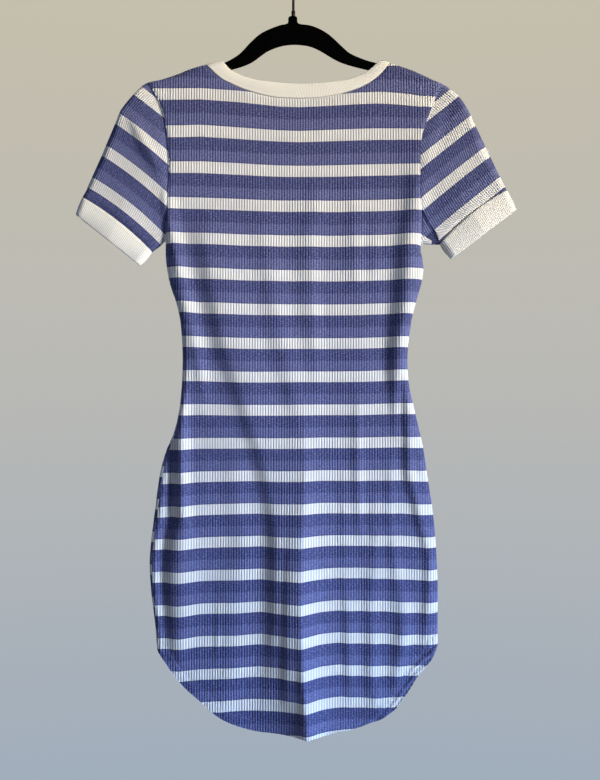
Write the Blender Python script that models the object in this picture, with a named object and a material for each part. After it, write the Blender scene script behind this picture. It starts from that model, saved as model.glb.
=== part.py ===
"""Short-sleeved T-shirt dress in rib knit, hung on a flat flocked hanger.

The dress is seven sewn pieces: a back and a front panel, two set-in sleeves, a rib cuff on each
and a rib neckband. Each is a thin wall with raised ribs outside and a plain inside. The hanger is
a flat arched body and a wire hook. +Z is up, the back of the dress faces -Y, and the origin is the
inner top of the hook, where a rail would carry it.
"""
import math

import bpy
import numpy as np
from mathutils import Vector
from mathutils.geometry import delaunay_2d_cdt

# Cloth, in metres
WALL = 0.0012
BAND_WALL = 0.0021
RIB_PITCH = 0.0035
RIB_HEIGHT = 0.0005
SEAM = 0.0003
FOLD_DEPTH = 0.0070
BULGE = 0.0060
BULGE_REACH = 0.070
FOLD_REACH = 0.030
LEVEL_STEP = 0.0080
COLUMN_ERROR = 0.0008
LONGEST_ROW = 0.500
FINE_FROM = 0.100
SIDE_STEP = 0.012
ARMHOLE_STEP = 0.0055
SLEEVE_RIBS = 72
SLEEVE_ROWS = (0.0, 0.11, 0.25, 0.50, 1.0)
CUFF_COLUMNS = 36
BAND_COLUMNS = 60

# Steps down from a rolled shoulder, in metres
ROLL_ROWS = np.array([0.0014, 0.0036, 0.0084])

# Hanger, in metres
HANGER_THICK = 0.0054
HANGER_EDGE = 0.0018
ARM_DEPTH = 0.0110
ARM_CLEAR = 0.0023
BAND_CLEAR = 0.0036
TIP_CLEAR = 0.0012
TIP_LEFT = -0.2130
TIP_RIGHT = 0.2230
WIRE = 0.0034
COLLAR = 0.0052
HOOK_FOOT = -0.0676
COLLAR_TOP = -0.0602

# Edges of the laid-flat shape, rows of x, z and the width over which the cloth rolls to the back
SHOULDER_LEFT = [
    (-0.0800, -0.1235, 0.007), (-0.0948, -0.1272, 0.007), (-0.1174, -0.1325, 0.007),
    (-0.1374, -0.1385, 0.007), (-0.1507, -0.1440, 0.007), (-0.1640, -0.1487, 0.007),
    (-0.1773, -0.1527, 0.007), (-0.1919, -0.1558, 0.007), (-0.2012, -0.1611, 0.007),
    (-0.2092, -0.1691, 0.007), (-0.2198, -0.1810, 0.007), (-0.2305, -0.1957, 0.007),
    (-0.2355, -0.2116, 0.008), (-0.2411, -0.2276, 0.009), (-0.2478, -0.2422, 0.009),
    (-0.2531, -0.2555, 0.009), (-0.2597, -0.2688, 0.009), (-0.2667, -0.2840, 0.009),
    (-0.2730, -0.2971, 0.009), (-0.2797, -0.3087, 0.009), (-0.2840, -0.3205, 0.009),
    (-0.2890, -0.3313, 0.009), (-0.2935, -0.3430, 0.009)]
SIDE_LEFT = [
    (-0.2160, -0.4090, 0.009), (-0.2039, -0.3985, 0.009), (-0.1879, -0.3805, 0.009),
    (-0.1773, -0.3726, 0.009), (-0.1695, -0.3646, 0.009), (-0.1693, -0.3730, 0.009),
    (-0.1693, -0.3845, 0.009), (-0.1680, -0.3978, 0.009), (-0.1652, -0.4151, 0.009),
    (-0.1610, -0.4311, 0.009), (-0.1560, -0.4444, 0.009), (-0.1497, -0.4710, 0.009),
    (-0.1467, -0.5109, 0.009), (-0.1467, -0.5375, 0.009), (-0.1480, -0.5641, 0.010),
    (-0.1510, -0.5907, 0.011), (-0.1570, -0.6173, 0.013), (-0.1680, -0.6439, 0.015),
    (-0.1756, -0.6705, 0.017), (-0.1799, -0.6971, 0.018), (-0.1832, -0.7237, 0.018),
    (-0.1882, -0.7636, 0.017), (-0.1903, -0.7902, 0.016), (-0.1895, -0.8168, 0.014),
    (-0.1870, -0.8434, 0.012), (-0.1835, -0.8700, 0.011), (-0.1813, -0.8966, 0.010),
    (-0.1799, -0.9099, 0.009), (-0.1785, -0.9300, 0.009), (-0.1770, -0.9600, 0.009),
    (-0.1750, -1.0600, 0.009)]
SHOULDER_RIGHT = [
    (0.0990, -0.1228, 0.007), (0.1153, -0.1265, 0.007), (0.1286, -0.1303, 0.007),
    (0.1419, -0.1345, 0.007), (0.1552, -0.1390, 0.007), (0.1685, -0.1447, 0.007),
    (0.1818, -0.1510, 0.007), (0.1964, -0.1575, 0.007), (0.2071, -0.1640, 0.007),
    (0.2200, -0.1751, 0.007), (0.2290, -0.1877, 0.007), (0.2350, -0.1990, 0.007),
    (0.2417, -0.2156, 0.008), (0.2510, -0.2420, 0.009), (0.2603, -0.2600, 0.009),
    (0.2736, -0.2815, 0.009), (0.2869, -0.3021, 0.009), (0.2920, -0.3130, 0.009),
    (0.2962, -0.3247, 0.009), (0.3010, -0.3370, 0.009)]
SIDE_RIGHT = [
    (0.2185, -0.4010, 0.009), (0.2084, -0.3899, 0.009), (0.1991, -0.3790, 0.009),
    (0.1818, -0.3752, 0.009), (0.1685, -0.3700, 0.009), (0.1682, -0.3760, 0.009),
    (0.1698, -0.3845, 0.010), (0.1722, -0.3978, 0.011), (0.1712, -0.4151, 0.011),
    (0.1672, -0.4311, 0.011), (0.1632, -0.4444, 0.011), (0.1565, -0.4710, 0.010),
    (0.1515, -0.5109, 0.009), (0.1512, -0.5375, 0.009), (0.1542, -0.5641, 0.009),
    (0.1605, -0.5907, 0.009), (0.1668, -0.6173, 0.009), (0.1725, -0.6439, 0.009),
    (0.1765, -0.6705, 0.010), (0.1805, -0.6971, 0.011), (0.1845, -0.7237, 0.012),
    (0.1885, -0.7636, 0.012), (0.1898, -0.7902, 0.012), (0.1911, -0.8168, 0.012),
    (0.1913, -0.8434, 0.011), (0.1912, -0.8700, 0.010), (0.1911, -0.9032, 0.009),
    (0.1895, -0.9300, 0.009), (0.1880, -0.9600, 0.009), (0.1860, -1.0600, 0.009)]

# Seams and open edges on the laid-flat shape, rows of x and z
NECK_SEAM_BACK = [
    (-0.1174, -0.1325), (-0.0967, -0.1520), (-0.0835, -0.1592), (-0.0702, -0.1656),
    (-0.0570, -0.1704), (-0.0437, -0.1745), (-0.0305, -0.1775), (-0.0174, -0.1791),
    (0.0089, -0.1801), (0.0352, -0.1788), (0.0483, -0.1767), (0.0615, -0.1740),
    (0.0747, -0.1702), (0.0879, -0.1650), (0.1012, -0.1578), (0.1146, -0.1470), (0.1286, -0.1303)]
NECK_EDGE_BACK = [
    (-0.0948, -0.1272), (-0.0836, -0.1400), (-0.0703, -0.1480), (-0.0570, -0.1527),
    (-0.0438, -0.1557), (-0.0174, -0.1591), (0.0089, -0.1601), (0.0352, -0.1592),
    (0.0616, -0.1561), (0.0748, -0.1529), (0.0881, -0.1480), (0.1014, -0.1400), (0.1153, -0.1265)]
NECK_SEAM_FRONT = [
    (-0.1174, -0.1325), (-0.1050, -0.1620), (-0.0880, -0.1900), (-0.0640, -0.2130),
    (-0.0330, -0.2290), (0.0057, -0.2350), (0.0445, -0.2290), (0.0755, -0.2130),
    (0.0995, -0.1900), (0.1165, -0.1620), (0.1286, -0.1303)]
NECK_EDGE_FRONT = [
    (-0.0948, -0.1272), (-0.0850, -0.1550), (-0.0710, -0.1790), (-0.0510, -0.1985),
    (-0.0250, -0.2110), (0.0057, -0.2150), (0.0365, -0.2110), (0.0625, -0.1985),
    (0.0825, -0.1790), (0.0965, -0.1550), (0.1153, -0.1265)]
ARMHOLE_LEFT = [
    (-0.1919, -0.1558), (-0.1801, -0.1775), (-0.1760, -0.1860), (-0.1718, -0.1980),
    (-0.1686, -0.2110), (-0.1663, -0.2282), (-0.1644, -0.2482), (-0.1637, -0.2851),
    (-0.1650, -0.3204), (-0.1695, -0.3646)]
ARMHOLE_RIGHT = [
    (0.1964, -0.1575), (0.1860, -0.1834), (0.1817, -0.1943), (0.1772, -0.2060),
    (0.1727, -0.2173), (0.1696, -0.2300), (0.1674, -0.2450), (0.1668, -0.3009),
    (0.1690, -0.3300), (0.1685, -0.3700)]
HEM_BACK = [
    (-0.1799, -0.9099), (-0.1732, -0.9187), (-0.1626, -0.9336), (-0.1518, -0.9474),
    (-0.1411, -0.9589), (-0.1226, -0.9744), (-0.1094, -0.9862), (-0.0963, -0.9957),
    (-0.0831, -1.0023), (-0.0700, -1.0072), (-0.0568, -1.0106), (-0.0435, -1.0126),
    (-0.0303, -1.0132), (-0.0172, -1.0138), (-0.0041, -1.0148), (0.0089, -1.0160),
    (0.0218, -1.0162), (0.0348, -1.0153), (0.0480, -1.0138), (0.0613, -1.0120),
    (0.0745, -1.0104), (0.0877, -1.0072), (0.1010, -1.0025), (0.1141, -0.9980),
    (0.1246, -0.9920), (0.1338, -0.9849), (0.1405, -0.9765), (0.1471, -0.9675),
    (0.1538, -0.9580), (0.1605, -0.9478), (0.1673, -0.9380), (0.1753, -0.9290),
    (0.1836, -0.9187), (0.1911, -0.9032)]
HEM_FRONT = [
    (-0.1799, -0.9099), (-0.1700, -0.9230), (-0.1500, -0.9480), (-0.1250, -0.9700),
    (-0.0950, -0.9900), (-0.0600, -1.0040), (-0.0250, -1.0110), (0.0060, -1.0130),
    (0.0400, -1.0110), (0.0750, -1.0030), (0.1080, -0.9890), (0.1350, -0.9690),
    (0.1600, -0.9450), (0.1800, -0.9220), (0.1911, -0.9032)]
CUFF_LEFT = {"seam": ((-0.2797, -0.3087), (-0.1879, -0.3805)),
             "edge": ((-0.2890, -0.3313), (-0.2039, -0.3985))}
CUFF_RIGHT = {"seam": ((0.2869, -0.3021), (0.1991, -0.3790)),
              "edge": ((0.2962, -0.3247), (0.2084, -0.3899))}

# Soft folds, rows of z, x, half-width and height out of the cloth
BACK_FOLDS = {
    "underarm to waist": [
        (-0.2600, -0.1160, 0.018, 0.0), (-0.3400, -0.1050, 0.021, 0.0030),
        (-0.3912, -0.0988, 0.022, 0.0050), (-0.4444, -0.0842, 0.022, 0.0062),
        (-0.4976, -0.0709, 0.022, 0.0066), (-0.5508, -0.0629, 0.021, 0.0066),
        (-0.6040, -0.0496, 0.020, 0.0066), (-0.6572, -0.0336, 0.019, 0.0058),
        (-0.6971, -0.0177, 0.018, 0.0036), (-0.7503, 0.0010, 0.018, 0.0)],
    "chest centre": [
        (-0.2700, -0.0420, 0.010, 0.0), (-0.3600, -0.0400, 0.011, 0.0018),
        (-0.4444, -0.0257, 0.012, 0.0028), (-0.5240, -0.0124, 0.013, 0.0030),
        (-0.5900, 0.0010, 0.013, 0.0034), (-0.6440, 0.0060, 0.014, 0.0030),
        (-0.7100, 0.0090, 0.016, 0.0)],
    "hem ridge": [
        (-0.6100, 0.0080, 0.022, 0.0), (-0.6700, 0.0090, 0.026, 0.0045),
        (-0.7370, 0.0089, 0.031, 0.0100), (-0.8168, 0.0080, 0.034, 0.0135),
        (-0.8700, 0.0090, 0.036, 0.0155), (-0.9232, 0.0116, 0.037, 0.0175),
        (-0.9764, 0.0160, 0.038, 0.0190), (-1.0296, 0.0190, 0.039, 0.0200)],
    "left side ridge": [
        (-0.3100, -0.1560, 0.010, 0.0), (-0.3800, -0.1500, 0.012, 0.0030),
        (-0.4444, -0.1440, 0.013, 0.0040), (-0.5240, -0.1400, 0.013, 0.0036),
        (-0.5900, -0.1370, 0.015, 0.0040), (-0.6700, -0.1430, 0.017, 0.0048),
        (-0.7300, -0.1440, 0.018, 0.0050), (-0.7900, -0.1510, 0.018, 0.0036),
        (-0.8500, -0.1560, 0.018, 0.0024), (-0.9200, -0.1560, 0.018, 0.0)],
    "right side ridge": [
        (-0.2600, 0.1600, 0.010, 0.0), (-0.3200, 0.1560, 0.012, 0.0030),
        (-0.4000, 0.1530, 0.013, 0.0052), (-0.4600, 0.1430, 0.013, 0.0058),
        (-0.5200, 0.1390, 0.013, 0.0056), (-0.5800, 0.1440, 0.014, 0.0044),
        (-0.6600, 0.1560, 0.015, 0.0028), (-0.7400, 0.1620, 0.015, 0.0018),
        (-0.8200, 0.1620, 0.015, 0.0)],
    "right waist hollow": [
        (-0.3800, 0.1130, 0.017, 0.0), (-0.4600, 0.1170, 0.017, -0.0020),
        (-0.5400, 0.1180, 0.018, -0.0026), (-0.6400, 0.1190, 0.018, -0.0022),
        (-0.7400, 0.1270, 0.018, 0.0)],
    "left hip fold": [
        (-0.7000, -0.0680, 0.012, 0.0), (-0.7600, -0.0670, 0.012, 0.0014),
        (-0.8300, -0.0740, 0.013, 0.0018), (-0.9000, -0.0850, 0.013, 0.0014),
        (-0.9600, -0.0900, 0.013, 0.0)],
    "right hip fold": [
        (-0.7400, 0.0980, 0.010, 0.0), (-0.8100, 0.1050, 0.011, 0.0014),
        (-0.8700, 0.1040, 0.011, 0.0018), (-0.9300, 0.1040, 0.011, 0.0014),
        (-0.9900, 0.1060, 0.011, 0.0)]}
FRONT_FOLDS = {
    "bust to hem left": [
        (-0.3000, -0.0900, 0.018, 0.0), (-0.4000, -0.0860, 0.020, 0.0036),
        (-0.5200, -0.0740, 0.021, 0.0056), (-0.6400, -0.0760, 0.022, 0.0060),
        (-0.7600, -0.0860, 0.024, 0.0066), (-0.9000, -0.0940, 0.027, 0.0080),
        (-1.0300, -0.0980, 0.029, 0.0090)],
    "bust to hem right": [
        (-0.3200, 0.1000, 0.018, 0.0), (-0.4200, 0.0930, 0.020, 0.0040),
        (-0.5400, 0.0760, 0.021, 0.0058), (-0.6600, 0.0700, 0.022, 0.0062),
        (-0.7800, 0.0740, 0.025, 0.0080), (-0.9000, 0.0800, 0.028, 0.0100),
        (-1.0300, 0.0840, 0.030, 0.0115)],
    "waist centre": [
        (-0.4200, 0.0100, 0.014, 0.0), (-0.5200, 0.0060, 0.015, 0.0024),
        (-0.6200, -0.0020, 0.016, 0.0026), (-0.7200, -0.0060, 0.017, 0.0)],
    "left waist fold": [
        (-0.4000, -0.1400, 0.012, 0.0), (-0.5000, -0.1300, 0.012, 0.0028),
        (-0.5800, -0.1320, 0.013, 0.0030), (-0.6800, -0.1450, 0.014, 0.0)],
    "right waist fold": [
        (-0.4200, 0.1450, 0.012, 0.0), (-0.5100, 0.1350, 0.012, 0.0026),
        (-0.6000, 0.1400, 0.013, 0.0030), (-0.7000, 0.1520, 0.014, 0.0)]}

# Hanger edges, rows of x and z
YOKE_TOP = [
    (-0.1100, -0.1343), (-0.1000, -0.1321), (-0.0935, -0.1300), (-0.0842, -0.1258),
    (-0.0709, -0.1170), (-0.0576, -0.1030), (-0.0443, -0.0912), (-0.0310, -0.0843),
    (-0.0180, -0.0795), (-0.0075, -0.0766), (-0.0060, -0.0682), (0.0045, -0.0682),
    (0.0063, -0.0766), (0.0222, -0.0796), (0.0355, -0.0846), (0.0488, -0.0930),
    (0.0661, -0.1090), (0.0754, -0.1168), (0.0967, -0.1259), (0.1127, -0.1302), (0.1200, -0.1321)]
YOKE_BOTTOM = [
    (-0.1100, -0.1452), (-0.0935, -0.1408), (-0.0775, -0.1368), (-0.0642, -0.1325),
    (-0.0536, -0.1274), (-0.0443, -0.1206), (-0.0336, -0.1133), (-0.0177, -0.1072),
    (-0.0044, -0.1050), (0.0089, -0.1051), (0.0222, -0.1073), (0.0355, -0.1130),
    (0.0555, -0.1248), (0.0688, -0.1305), (0.0967, -0.1380), (0.1127, -0.1410), (0.1200, -0.1430)]
HOOK_PATH = [
    (0.0000, -0.0465), (0.0014, -0.0420), (0.0052, -0.0382),
    (0.0106, -0.0346), (0.0155, -0.0295), (0.0185, -0.0230), (0.0190, -0.0160), (0.0168, -0.0085),
    (0.0117, -0.0023), (0.0045, 0.0011), (-0.0033, 0.0014), (-0.0108, -0.0017), (-0.0163, -0.0076),
    (-0.0189, -0.0153), (-0.0184, -0.0230)]


def clear_scene():
    """Removes whatever the file opened with."""
    for item in list(bpy.data.objects):
        bpy.data.objects.remove(item, do_unlink=True)


def smooth_curve(rows, step=0.003):
    """Runs a smooth line through rows of numbers, with points about a step apart."""
    pts = np.array(rows, dtype=float)
    out = []
    for i in range(len(pts) - 1):
        a = pts[max(i - 1, 0)]
        b = pts[i]
        c = pts[i + 1]
        d = pts[min(i + 2, len(pts) - 1)]
        span = np.hypot(*(c - b)[:2])
        before = np.hypot(*(b - a)[:2])
        after = np.hypot(*(d - c)[:2])
        slope_b = (c - a) * span / (span + before) if before > 0 else (c - b)
        slope_c = (d - b) * span / (span + after) if after > 0 else (c - b)
        count = max(1, int(math.ceil(span / step)))
        for k in range(count):
            t = k / count
            out.append(b * (2 * t ** 3 - 3 * t ** 2 + 1) + slope_b * (t ** 3 - 2 * t ** 2 + t)
                       + c * (3 * t ** 2 - 2 * t ** 3) + slope_c * (t ** 3 - t ** 2))
    out.append(pts[-1])
    return np.array(out)


OUTLINES = [smooth_curve(SHOULDER_LEFT), smooth_curve(SIDE_LEFT),
            smooth_curve(SHOULDER_RIGHT[::-1]), smooth_curve(SIDE_RIGHT[::-1])]
STARTS = np.vstack([line[:-1] for line in OUTLINES])
ENDS = np.vstack([line[1:] for line in OUTLINES])


def ease(t):
    """Runs from 0 to 1 with level ends."""
    t = np.clip(t, 0.0, 1.0)
    return t * t * (3 - 2 * t)


def fold_height(folds, x, z):
    """Adds up the soft folds at points of a panel."""
    total = np.zeros_like(x)
    for rows in folds.values():
        table = np.array(rows)[::-1]
        centre = np.interp(z, table[:, 0], table[:, 1])
        width = np.interp(z, table[:, 0], table[:, 2])
        height = np.interp(z, table[:, 0], table[:, 3])
        total += height * np.exp(-((x - centre) / width) ** 2)
    return total


UNDERARM = {"left": -0.3646, "right": -0.3700}


def nearest_edge(x, z):
    """Gives each point's distance to the rolled edges, the way inwards, and the roll's width."""
    p = np.stack([x, z], axis=-1)
    a = STARTS[:, :2]
    v = ENDS[:, :2] - a
    along = np.clip(np.einsum("nsk,sk->ns", p[:, None, :] - a, v) / (v * v).sum(1), 0.0, 1.0)
    foot = a + along[..., None] * v
    gap = p[:, None, :] - foot
    dist = np.sqrt((gap ** 2).sum(-1))
    best = dist.argmin(1)
    rows = np.arange(len(p))
    reach = dist[rows, best]
    inward = gap[rows, best] / np.maximum(reach, 1e-9)[:, None]
    normal = np.stack([-v[best, 1], v[best, 0]], axis=-1)
    normal /= np.hypot(normal[:, 0], normal[:, 1])[:, None]
    over = (inward * normal).sum(-1) < 0
    inward = np.where(((reach > 5e-5) & ~(over & (reach < 0.001)))[:, None], inward, normal)
    reach = np.where(over & (reach < 0.001), 0.0, reach)
    for line in (ARMHOLE_LEFT, ARMHOLE_RIGHT):
        low = np.array(line[-1])
        up = np.array(line[-2]) - low
        near = np.hypot(x - low[0], z - low[1]) < 0.0006
        inward = np.where(near[:, None], up / np.hypot(*up), inward)
    share = along[rows, best]
    roll = STARTS[best, 2] * (1 - share) + ENDS[best, 2] * share
    return reach, inward, roll


def cloth(x, z, front):
    """Lifts laid-flat points to the hung cloth: their positions and outward directions."""
    x = np.asarray(x, dtype=float)
    z = np.asarray(z, dtype=float)
    front = np.broadcast_to(np.asarray(front, dtype=bool), x.shape)
    reach, inward, roll = nearest_edge(x, z)
    q = np.clip(1 - reach / roll, 0.0, 1.0)
    rise = np.sqrt(np.maximum(1 - q * q, 0.0))

    def relief(px, pz):
        return np.where(front, fold_height(FRONT_FOLDS, px, pz), fold_height(BACK_FOLDS, px, pz))

    step = 0.001
    height = relief(x, z)
    slope_x = (relief(x + step, z) - relief(x - step, z)) / (2 * step)
    slope_z = (relief(x, z + step) - relief(x, z - step)) / (2 * step)
    share = ease(reach / FOLD_REACH)
    share_slope = 6 * (reach / FOLD_REACH) * (1 - reach / FOLD_REACH) / FOLD_REACH
    share_slope = np.where(reach < FOLD_REACH, share_slope, 0.0)
    swell = ease(reach / BULGE_REACH)
    swell_slope = 6 * (reach / BULGE_REACH) * (1 - reach / BULGE_REACH) / BULGE_REACH
    swell_slope = np.where(reach < BULGE_REACH, swell_slope, 0.0)
    depth = FOLD_DEPTH * rise + BULGE * swell + height * share
    tilt = height * share_slope + BULGE * swell_slope
    grad_x = slope_x * share + tilt * inward[:, 0]
    grad_z = slope_z * share + tilt * inward[:, 1]
    side = np.where(front, 1.0, -1.0)
    steep = FOLD_DEPTH / roll * q
    way = np.stack([-(steep * inward[:, 0] + rise * grad_x), side * rise,
                    -(steep * inward[:, 1] + rise * grad_z)], axis=-1)
    way /= np.linalg.norm(way, axis=1)[:, None]
    return np.stack([x, side * np.hypot(depth, 0.5 * SEAM), z], axis=-1), way


def roll_length(roll):
    """Cloth length of a quarter roll of the given width."""
    return 0.5 * math.pi * np.sqrt((roll ** 2 + FOLD_DEPTH ** 2) / 2)



EDGE_TABLE = {"left": smooth_curve(SIDE_LEFT[4:])[::-1], "right": smooth_curve(SIDE_RIGHT[4:])[::-1]}


def side_edge(z, hand):
    """Gives the body's side fold at a height: its x, its roll's width and its cloth length."""
    table = EDGE_TABLE[hand]
    x = np.interp(z, table[:, 1], table[:, 0])
    share = ease((UNDERARM[hand] - z) / 0.030)
    roll = np.interp(z, table[:, 1], table[:, 2]) * np.maximum(share, 1e-3)
    length = roll_length(roll) * np.maximum(share, 1e-3)
    return x, roll, np.maximum(length, roll * 1.0001)


def flat_from_cloth(u, z, front):
    """Turns cloth widths from the centre line into laid-flat x, and notes the side of the fold."""
    x = np.array(u, dtype=float)
    face = np.broadcast_to(np.asarray(front, dtype=bool), x.shape).copy()
    for hand, sign in (("left", -1.0), ("right", 1.0)):
        edge, roll, length = side_edge(z, hand)
        arc = sign * edge + (length - roll) - sign * x
        inside = (z < UNDERARM[hand]) & (arc < length) & (sign * x > 0)
        turn = roll * (1 - np.cos(0.5 * math.pi * np.abs(arc) / length))
        x = np.where(inside, edge - sign * turn, x)
        face = np.where(inside & (arc < -0.00005), ~face, face)
    return x, face


def cloth_from_flat(x, z):
    """Turns laid-flat x back into cloth widths."""
    u = np.array(x, dtype=float)
    for hand, sign in (("left", -1.0), ("right", 1.0)):
        edge, roll, length = side_edge(z, hand)
        depth = np.clip((edge - x) * sign, 0.0, None)
        arc = length * np.arccos(np.clip(1 - depth / roll, -1, 1)) * 2 / math.pi
        inside = (z < UNDERARM[hand]) & (depth < roll) & (sign * x > 0)
        u = np.where(inside, sign * (sign * edge + (length - roll) - arc), u)
    return u


def rib_lift(u):
    """Height of the rib at a cloth width: full on each ridge, none in each groove."""
    phase = np.abs(((u / RIB_PITCH) % 1.0) - 0.5) * 2
    return RIB_HEIGHT * phase


def side_seam(hand):
    """Lays a side seam down the fold, from the underarm to the hem's corner."""
    bottom = HEM_BACK[0][1] if hand == "left" else HEM_BACK[-1][1]
    z = np.arange(UNDERARM[hand], bottom, -0.002)
    z = np.append(z, bottom)
    edge, roll, length = side_edge(z, hand)
    sign = -1.0 if hand == "left" else 1.0
    return np.stack([edge + sign * (length - roll), z], axis=-1)


def flat_curve(rows):
    """Carries a laid-flat line into cloth widths."""
    line = smooth_curve(rows, 0.0008)
    return np.stack([cloth_from_flat(line[:, 0], line[:, 1]), line[:, 1]], axis=-1)


def shoulder_curve(rows, x_from, x_to):
    """The part of a shoulder's fold between two widths."""
    line = smooth_curve(rows, 0.0008)
    keep = (np.abs(line[:, 0]) >= abs(x_from)) & (np.abs(line[:, 0]) <= abs(x_to))
    return line[keep][:, :2]


def panel_outline(front):
    """Gives the panel's edge as parts, each with its name and the longest step between points."""
    neck = NECK_SEAM_FRONT if front else NECK_SEAM_BACK
    hem = HEM_FRONT if front else HEM_BACK
    return [
        ("neck", flat_curve(neck), 0.010),
        ("shoulder", shoulder_curve(SHOULDER_RIGHT, neck[-1][0], ARMHOLE_RIGHT[0][0]), 0.012),
        ("armhole", flat_curve(ARMHOLE_RIGHT), ARMHOLE_STEP),
        ("side", side_seam("right"), SIDE_STEP),
        ("hem", flat_curve(hem[::-1]), 0.010),
        ("side", side_seam("left")[::-1], SIDE_STEP),
        ("armhole", flat_curve(ARMHOLE_LEFT)[::-1], ARMHOLE_STEP),
        ("shoulder", shoulder_curve(SHOULDER_LEFT, neck[0][0], ARMHOLE_LEFT[0][0])[::-1], 0.012)]


def panel_lattice(front):
    """Divides a panel's cloth into columns along the ribs, and its edge into matching points."""
    half = 0.5 * RIB_PITCH
    edge = []
    for name, line, step in panel_outline(front):
        points = [(line[0], name, "corner")]
        for p, q in zip(line[:-1], line[1:]):
            lo, hi = sorted((p[0], q[0]))
            first = math.ceil(lo / half - 1e-9)
            last = math.floor(hi / half + 1e-9)
            hits = [k for k in range(first, last + 1) if lo < k * half < hi]
            if p[0] > q[0]:
                hits.reverse()
            for k in hits:
                t = (k * half - p[0]) / (q[0] - p[0])
                points.append((np.array([k * half, p[1] + t * (q[1] - p[1])]), name, k))
            points.append((q, name, "free"))
        kept = [points[0]]
        for i, item in enumerate(points[1:-1], 1):
            if item[2] == "free":
                far = np.hypot(*(item[0] - kept[-1][0]))
                ahead = next((o for o in points[i + 1:] if o[2] != "free"), points[-1])
                if far < step or np.hypot(*(ahead[0] - item[0])) < 0.0022:
                    continue
            elif np.hypot(*(item[0] - kept[-1][0])) < 0.0002:
                continue
            kept.append(item)
        edge += kept
    return edge


def column_spans(edge):
    """Finds, for each column, the stretches of it that lie on the cloth."""
    spans = {}
    for index, (point, name, tag) in enumerate(edge):
        if isinstance(tag, int):
            spans.setdefault(tag, []).append((point[1], index, name))
    for tag in spans:
        spans[tag].sort()
    return {tag: rows for tag, rows in spans.items() if len(rows) % 2 == 0}


def column_rows(u, low, high, front, top):
    """Heights of a column's inner points, as few as keep it within a tolerance of the cloth."""
    if top == "side" and high - low < 0.030:
        return []
    grid = np.arange(-0.1400, -1.0300, -LEVEL_STEP)
    near_top = high - ROLL_ROWS
    levels = grid[(grid > low + 0.0035) & (grid < high - 0.0120)]
    levels = np.concatenate([[low], levels[::-1], near_top[near_top > low + 0.004][::-1], [high]])
    spots = cloth_point(np.full_like(levels, u), levels, front, np.zeros_like(levels), 0.0)
    marks = [0, len(levels) - 1]
    x, _ = flat_from_cloth(np.array([u]), np.array([high]), front)
    reach, _, roll = nearest_edge(x, np.array([high]))
    if top != "side" and reach[0] < roll[0] + 0.003:
        marks = [0] + [k for k in range(1, len(levels)) if levels[k] > high - 0.0095]
    keep = set(marks)
    stack = list(zip(marks[:-1], marks[1:]))
    while stack:
        a, b = stack.pop()
        if b - a < 2:
            continue
        share = (levels[a + 1:b] - levels[a]) / (levels[b] - levels[a])
        chord = spots[a] + share[:, None] * (spots[b] - spots[a])
        miss = np.linalg.norm(spots[a + 1:b] - chord, axis=1)
        worst = int(miss.argmax())
        if miss[worst] > COLUMN_ERROR or levels[b] - levels[a] > LONGEST_ROW:
            if miss[worst] <= COLUMN_ERROR:
                worst = (b - a) // 2 - 1
            mid = a + 1 + worst
            keep.add(mid)
            stack += [(a, mid), (mid, b)]
    return [levels[k] for k in sorted(keep)][1:-1]


def triangles(points, edges, inside_edge):
    """Triangulates flat points under the given fixed edges."""
    scaled = [Vector((1000 * p[0], 1000 * p[1])) for p in points]
    result = delaunay_2d_cdt(scaled, edges, [list(range(inside_edge))], 1, 1e-6, True)
    index = {}
    for new, olds in enumerate(result[3]):
        for old in olds:
            index.setdefault(new, old)
    flat = np.array(points)
    tris = np.array([[index[v] for v in face] for face in result[2]])
    middle = flat[tris].mean(1)
    ring = flat[:inside_edge]
    after = np.roll(ring, -1, 0)
    above = ring[None, :, 1] > middle[:, None, 1]
    crosses = above != (after[None, :, 1] > middle[:, None, 1])
    rise = np.where(after[:, 1] == ring[:, 1], 1.0, after[:, 1] - ring[:, 1])
    at = ring[:, 0] + (middle[:, None, 1] - ring[:, 1]) / rise * (after[:, 0] - ring[:, 0])
    inside = (crosses & (middle[:, None, 0] < at)).sum(1) % 2 == 1
    tris = tris[inside]
    a, b, c = (flat[tris[:, k]] for k in range(3))
    turn = (b[:, 0] - a[:, 0]) * (c[:, 1] - a[:, 1]) - (b[:, 1] - a[:, 1]) * (c[:, 0] - a[:, 0])
    return [tuple(t) if w > 0 else tuple(t[::-1]) for t, w in zip(tris.tolist(), turn)]


def close_rim(outer, inner, owner):
    """Joins an outer loop to an inner loop that has a point under some of the outer ones."""
    faces = []
    count = len(outer)
    for i in range(count):
        j = (i + 1) % count
        faces.append((outer[i], inner[owner[i]], outer[j]))
        if owner[i] != owner[j]:
            faces.append((inner[owner[i]], inner[owner[j]], outer[j]))
    return faces


def make_object(name, points, faces, material):
    """Makes a mesh object in metres."""
    mesh = bpy.data.meshes.new(name)
    mesh.from_pydata([tuple(float(c) for c in p) for p in points], [], faces)
    mesh.materials.append(material)
    mesh.update()
    item = bpy.data.objects.new(name, mesh)
    collection.objects.link(item)
    return item


def make_material(name, colour, roughness):
    """Makes a plain surface."""
    material = bpy.data.materials.new(name)
    material.use_nodes = True
    shader = material.node_tree.nodes["Principled BSDF"]
    shader.inputs["Base Color"].default_value = (*colour, 1)
    shader.inputs["Roughness"].default_value = roughness
    return material


def cloth_point(u, z, front, lift, inset):
    """Places points of a body panel, moved out by lift or in by inset."""
    x, face = flat_from_cloth(u, z, front)
    spot, way = cloth(x, z, face)
    return spot + way * lift[:, None] - way * inset


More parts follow.
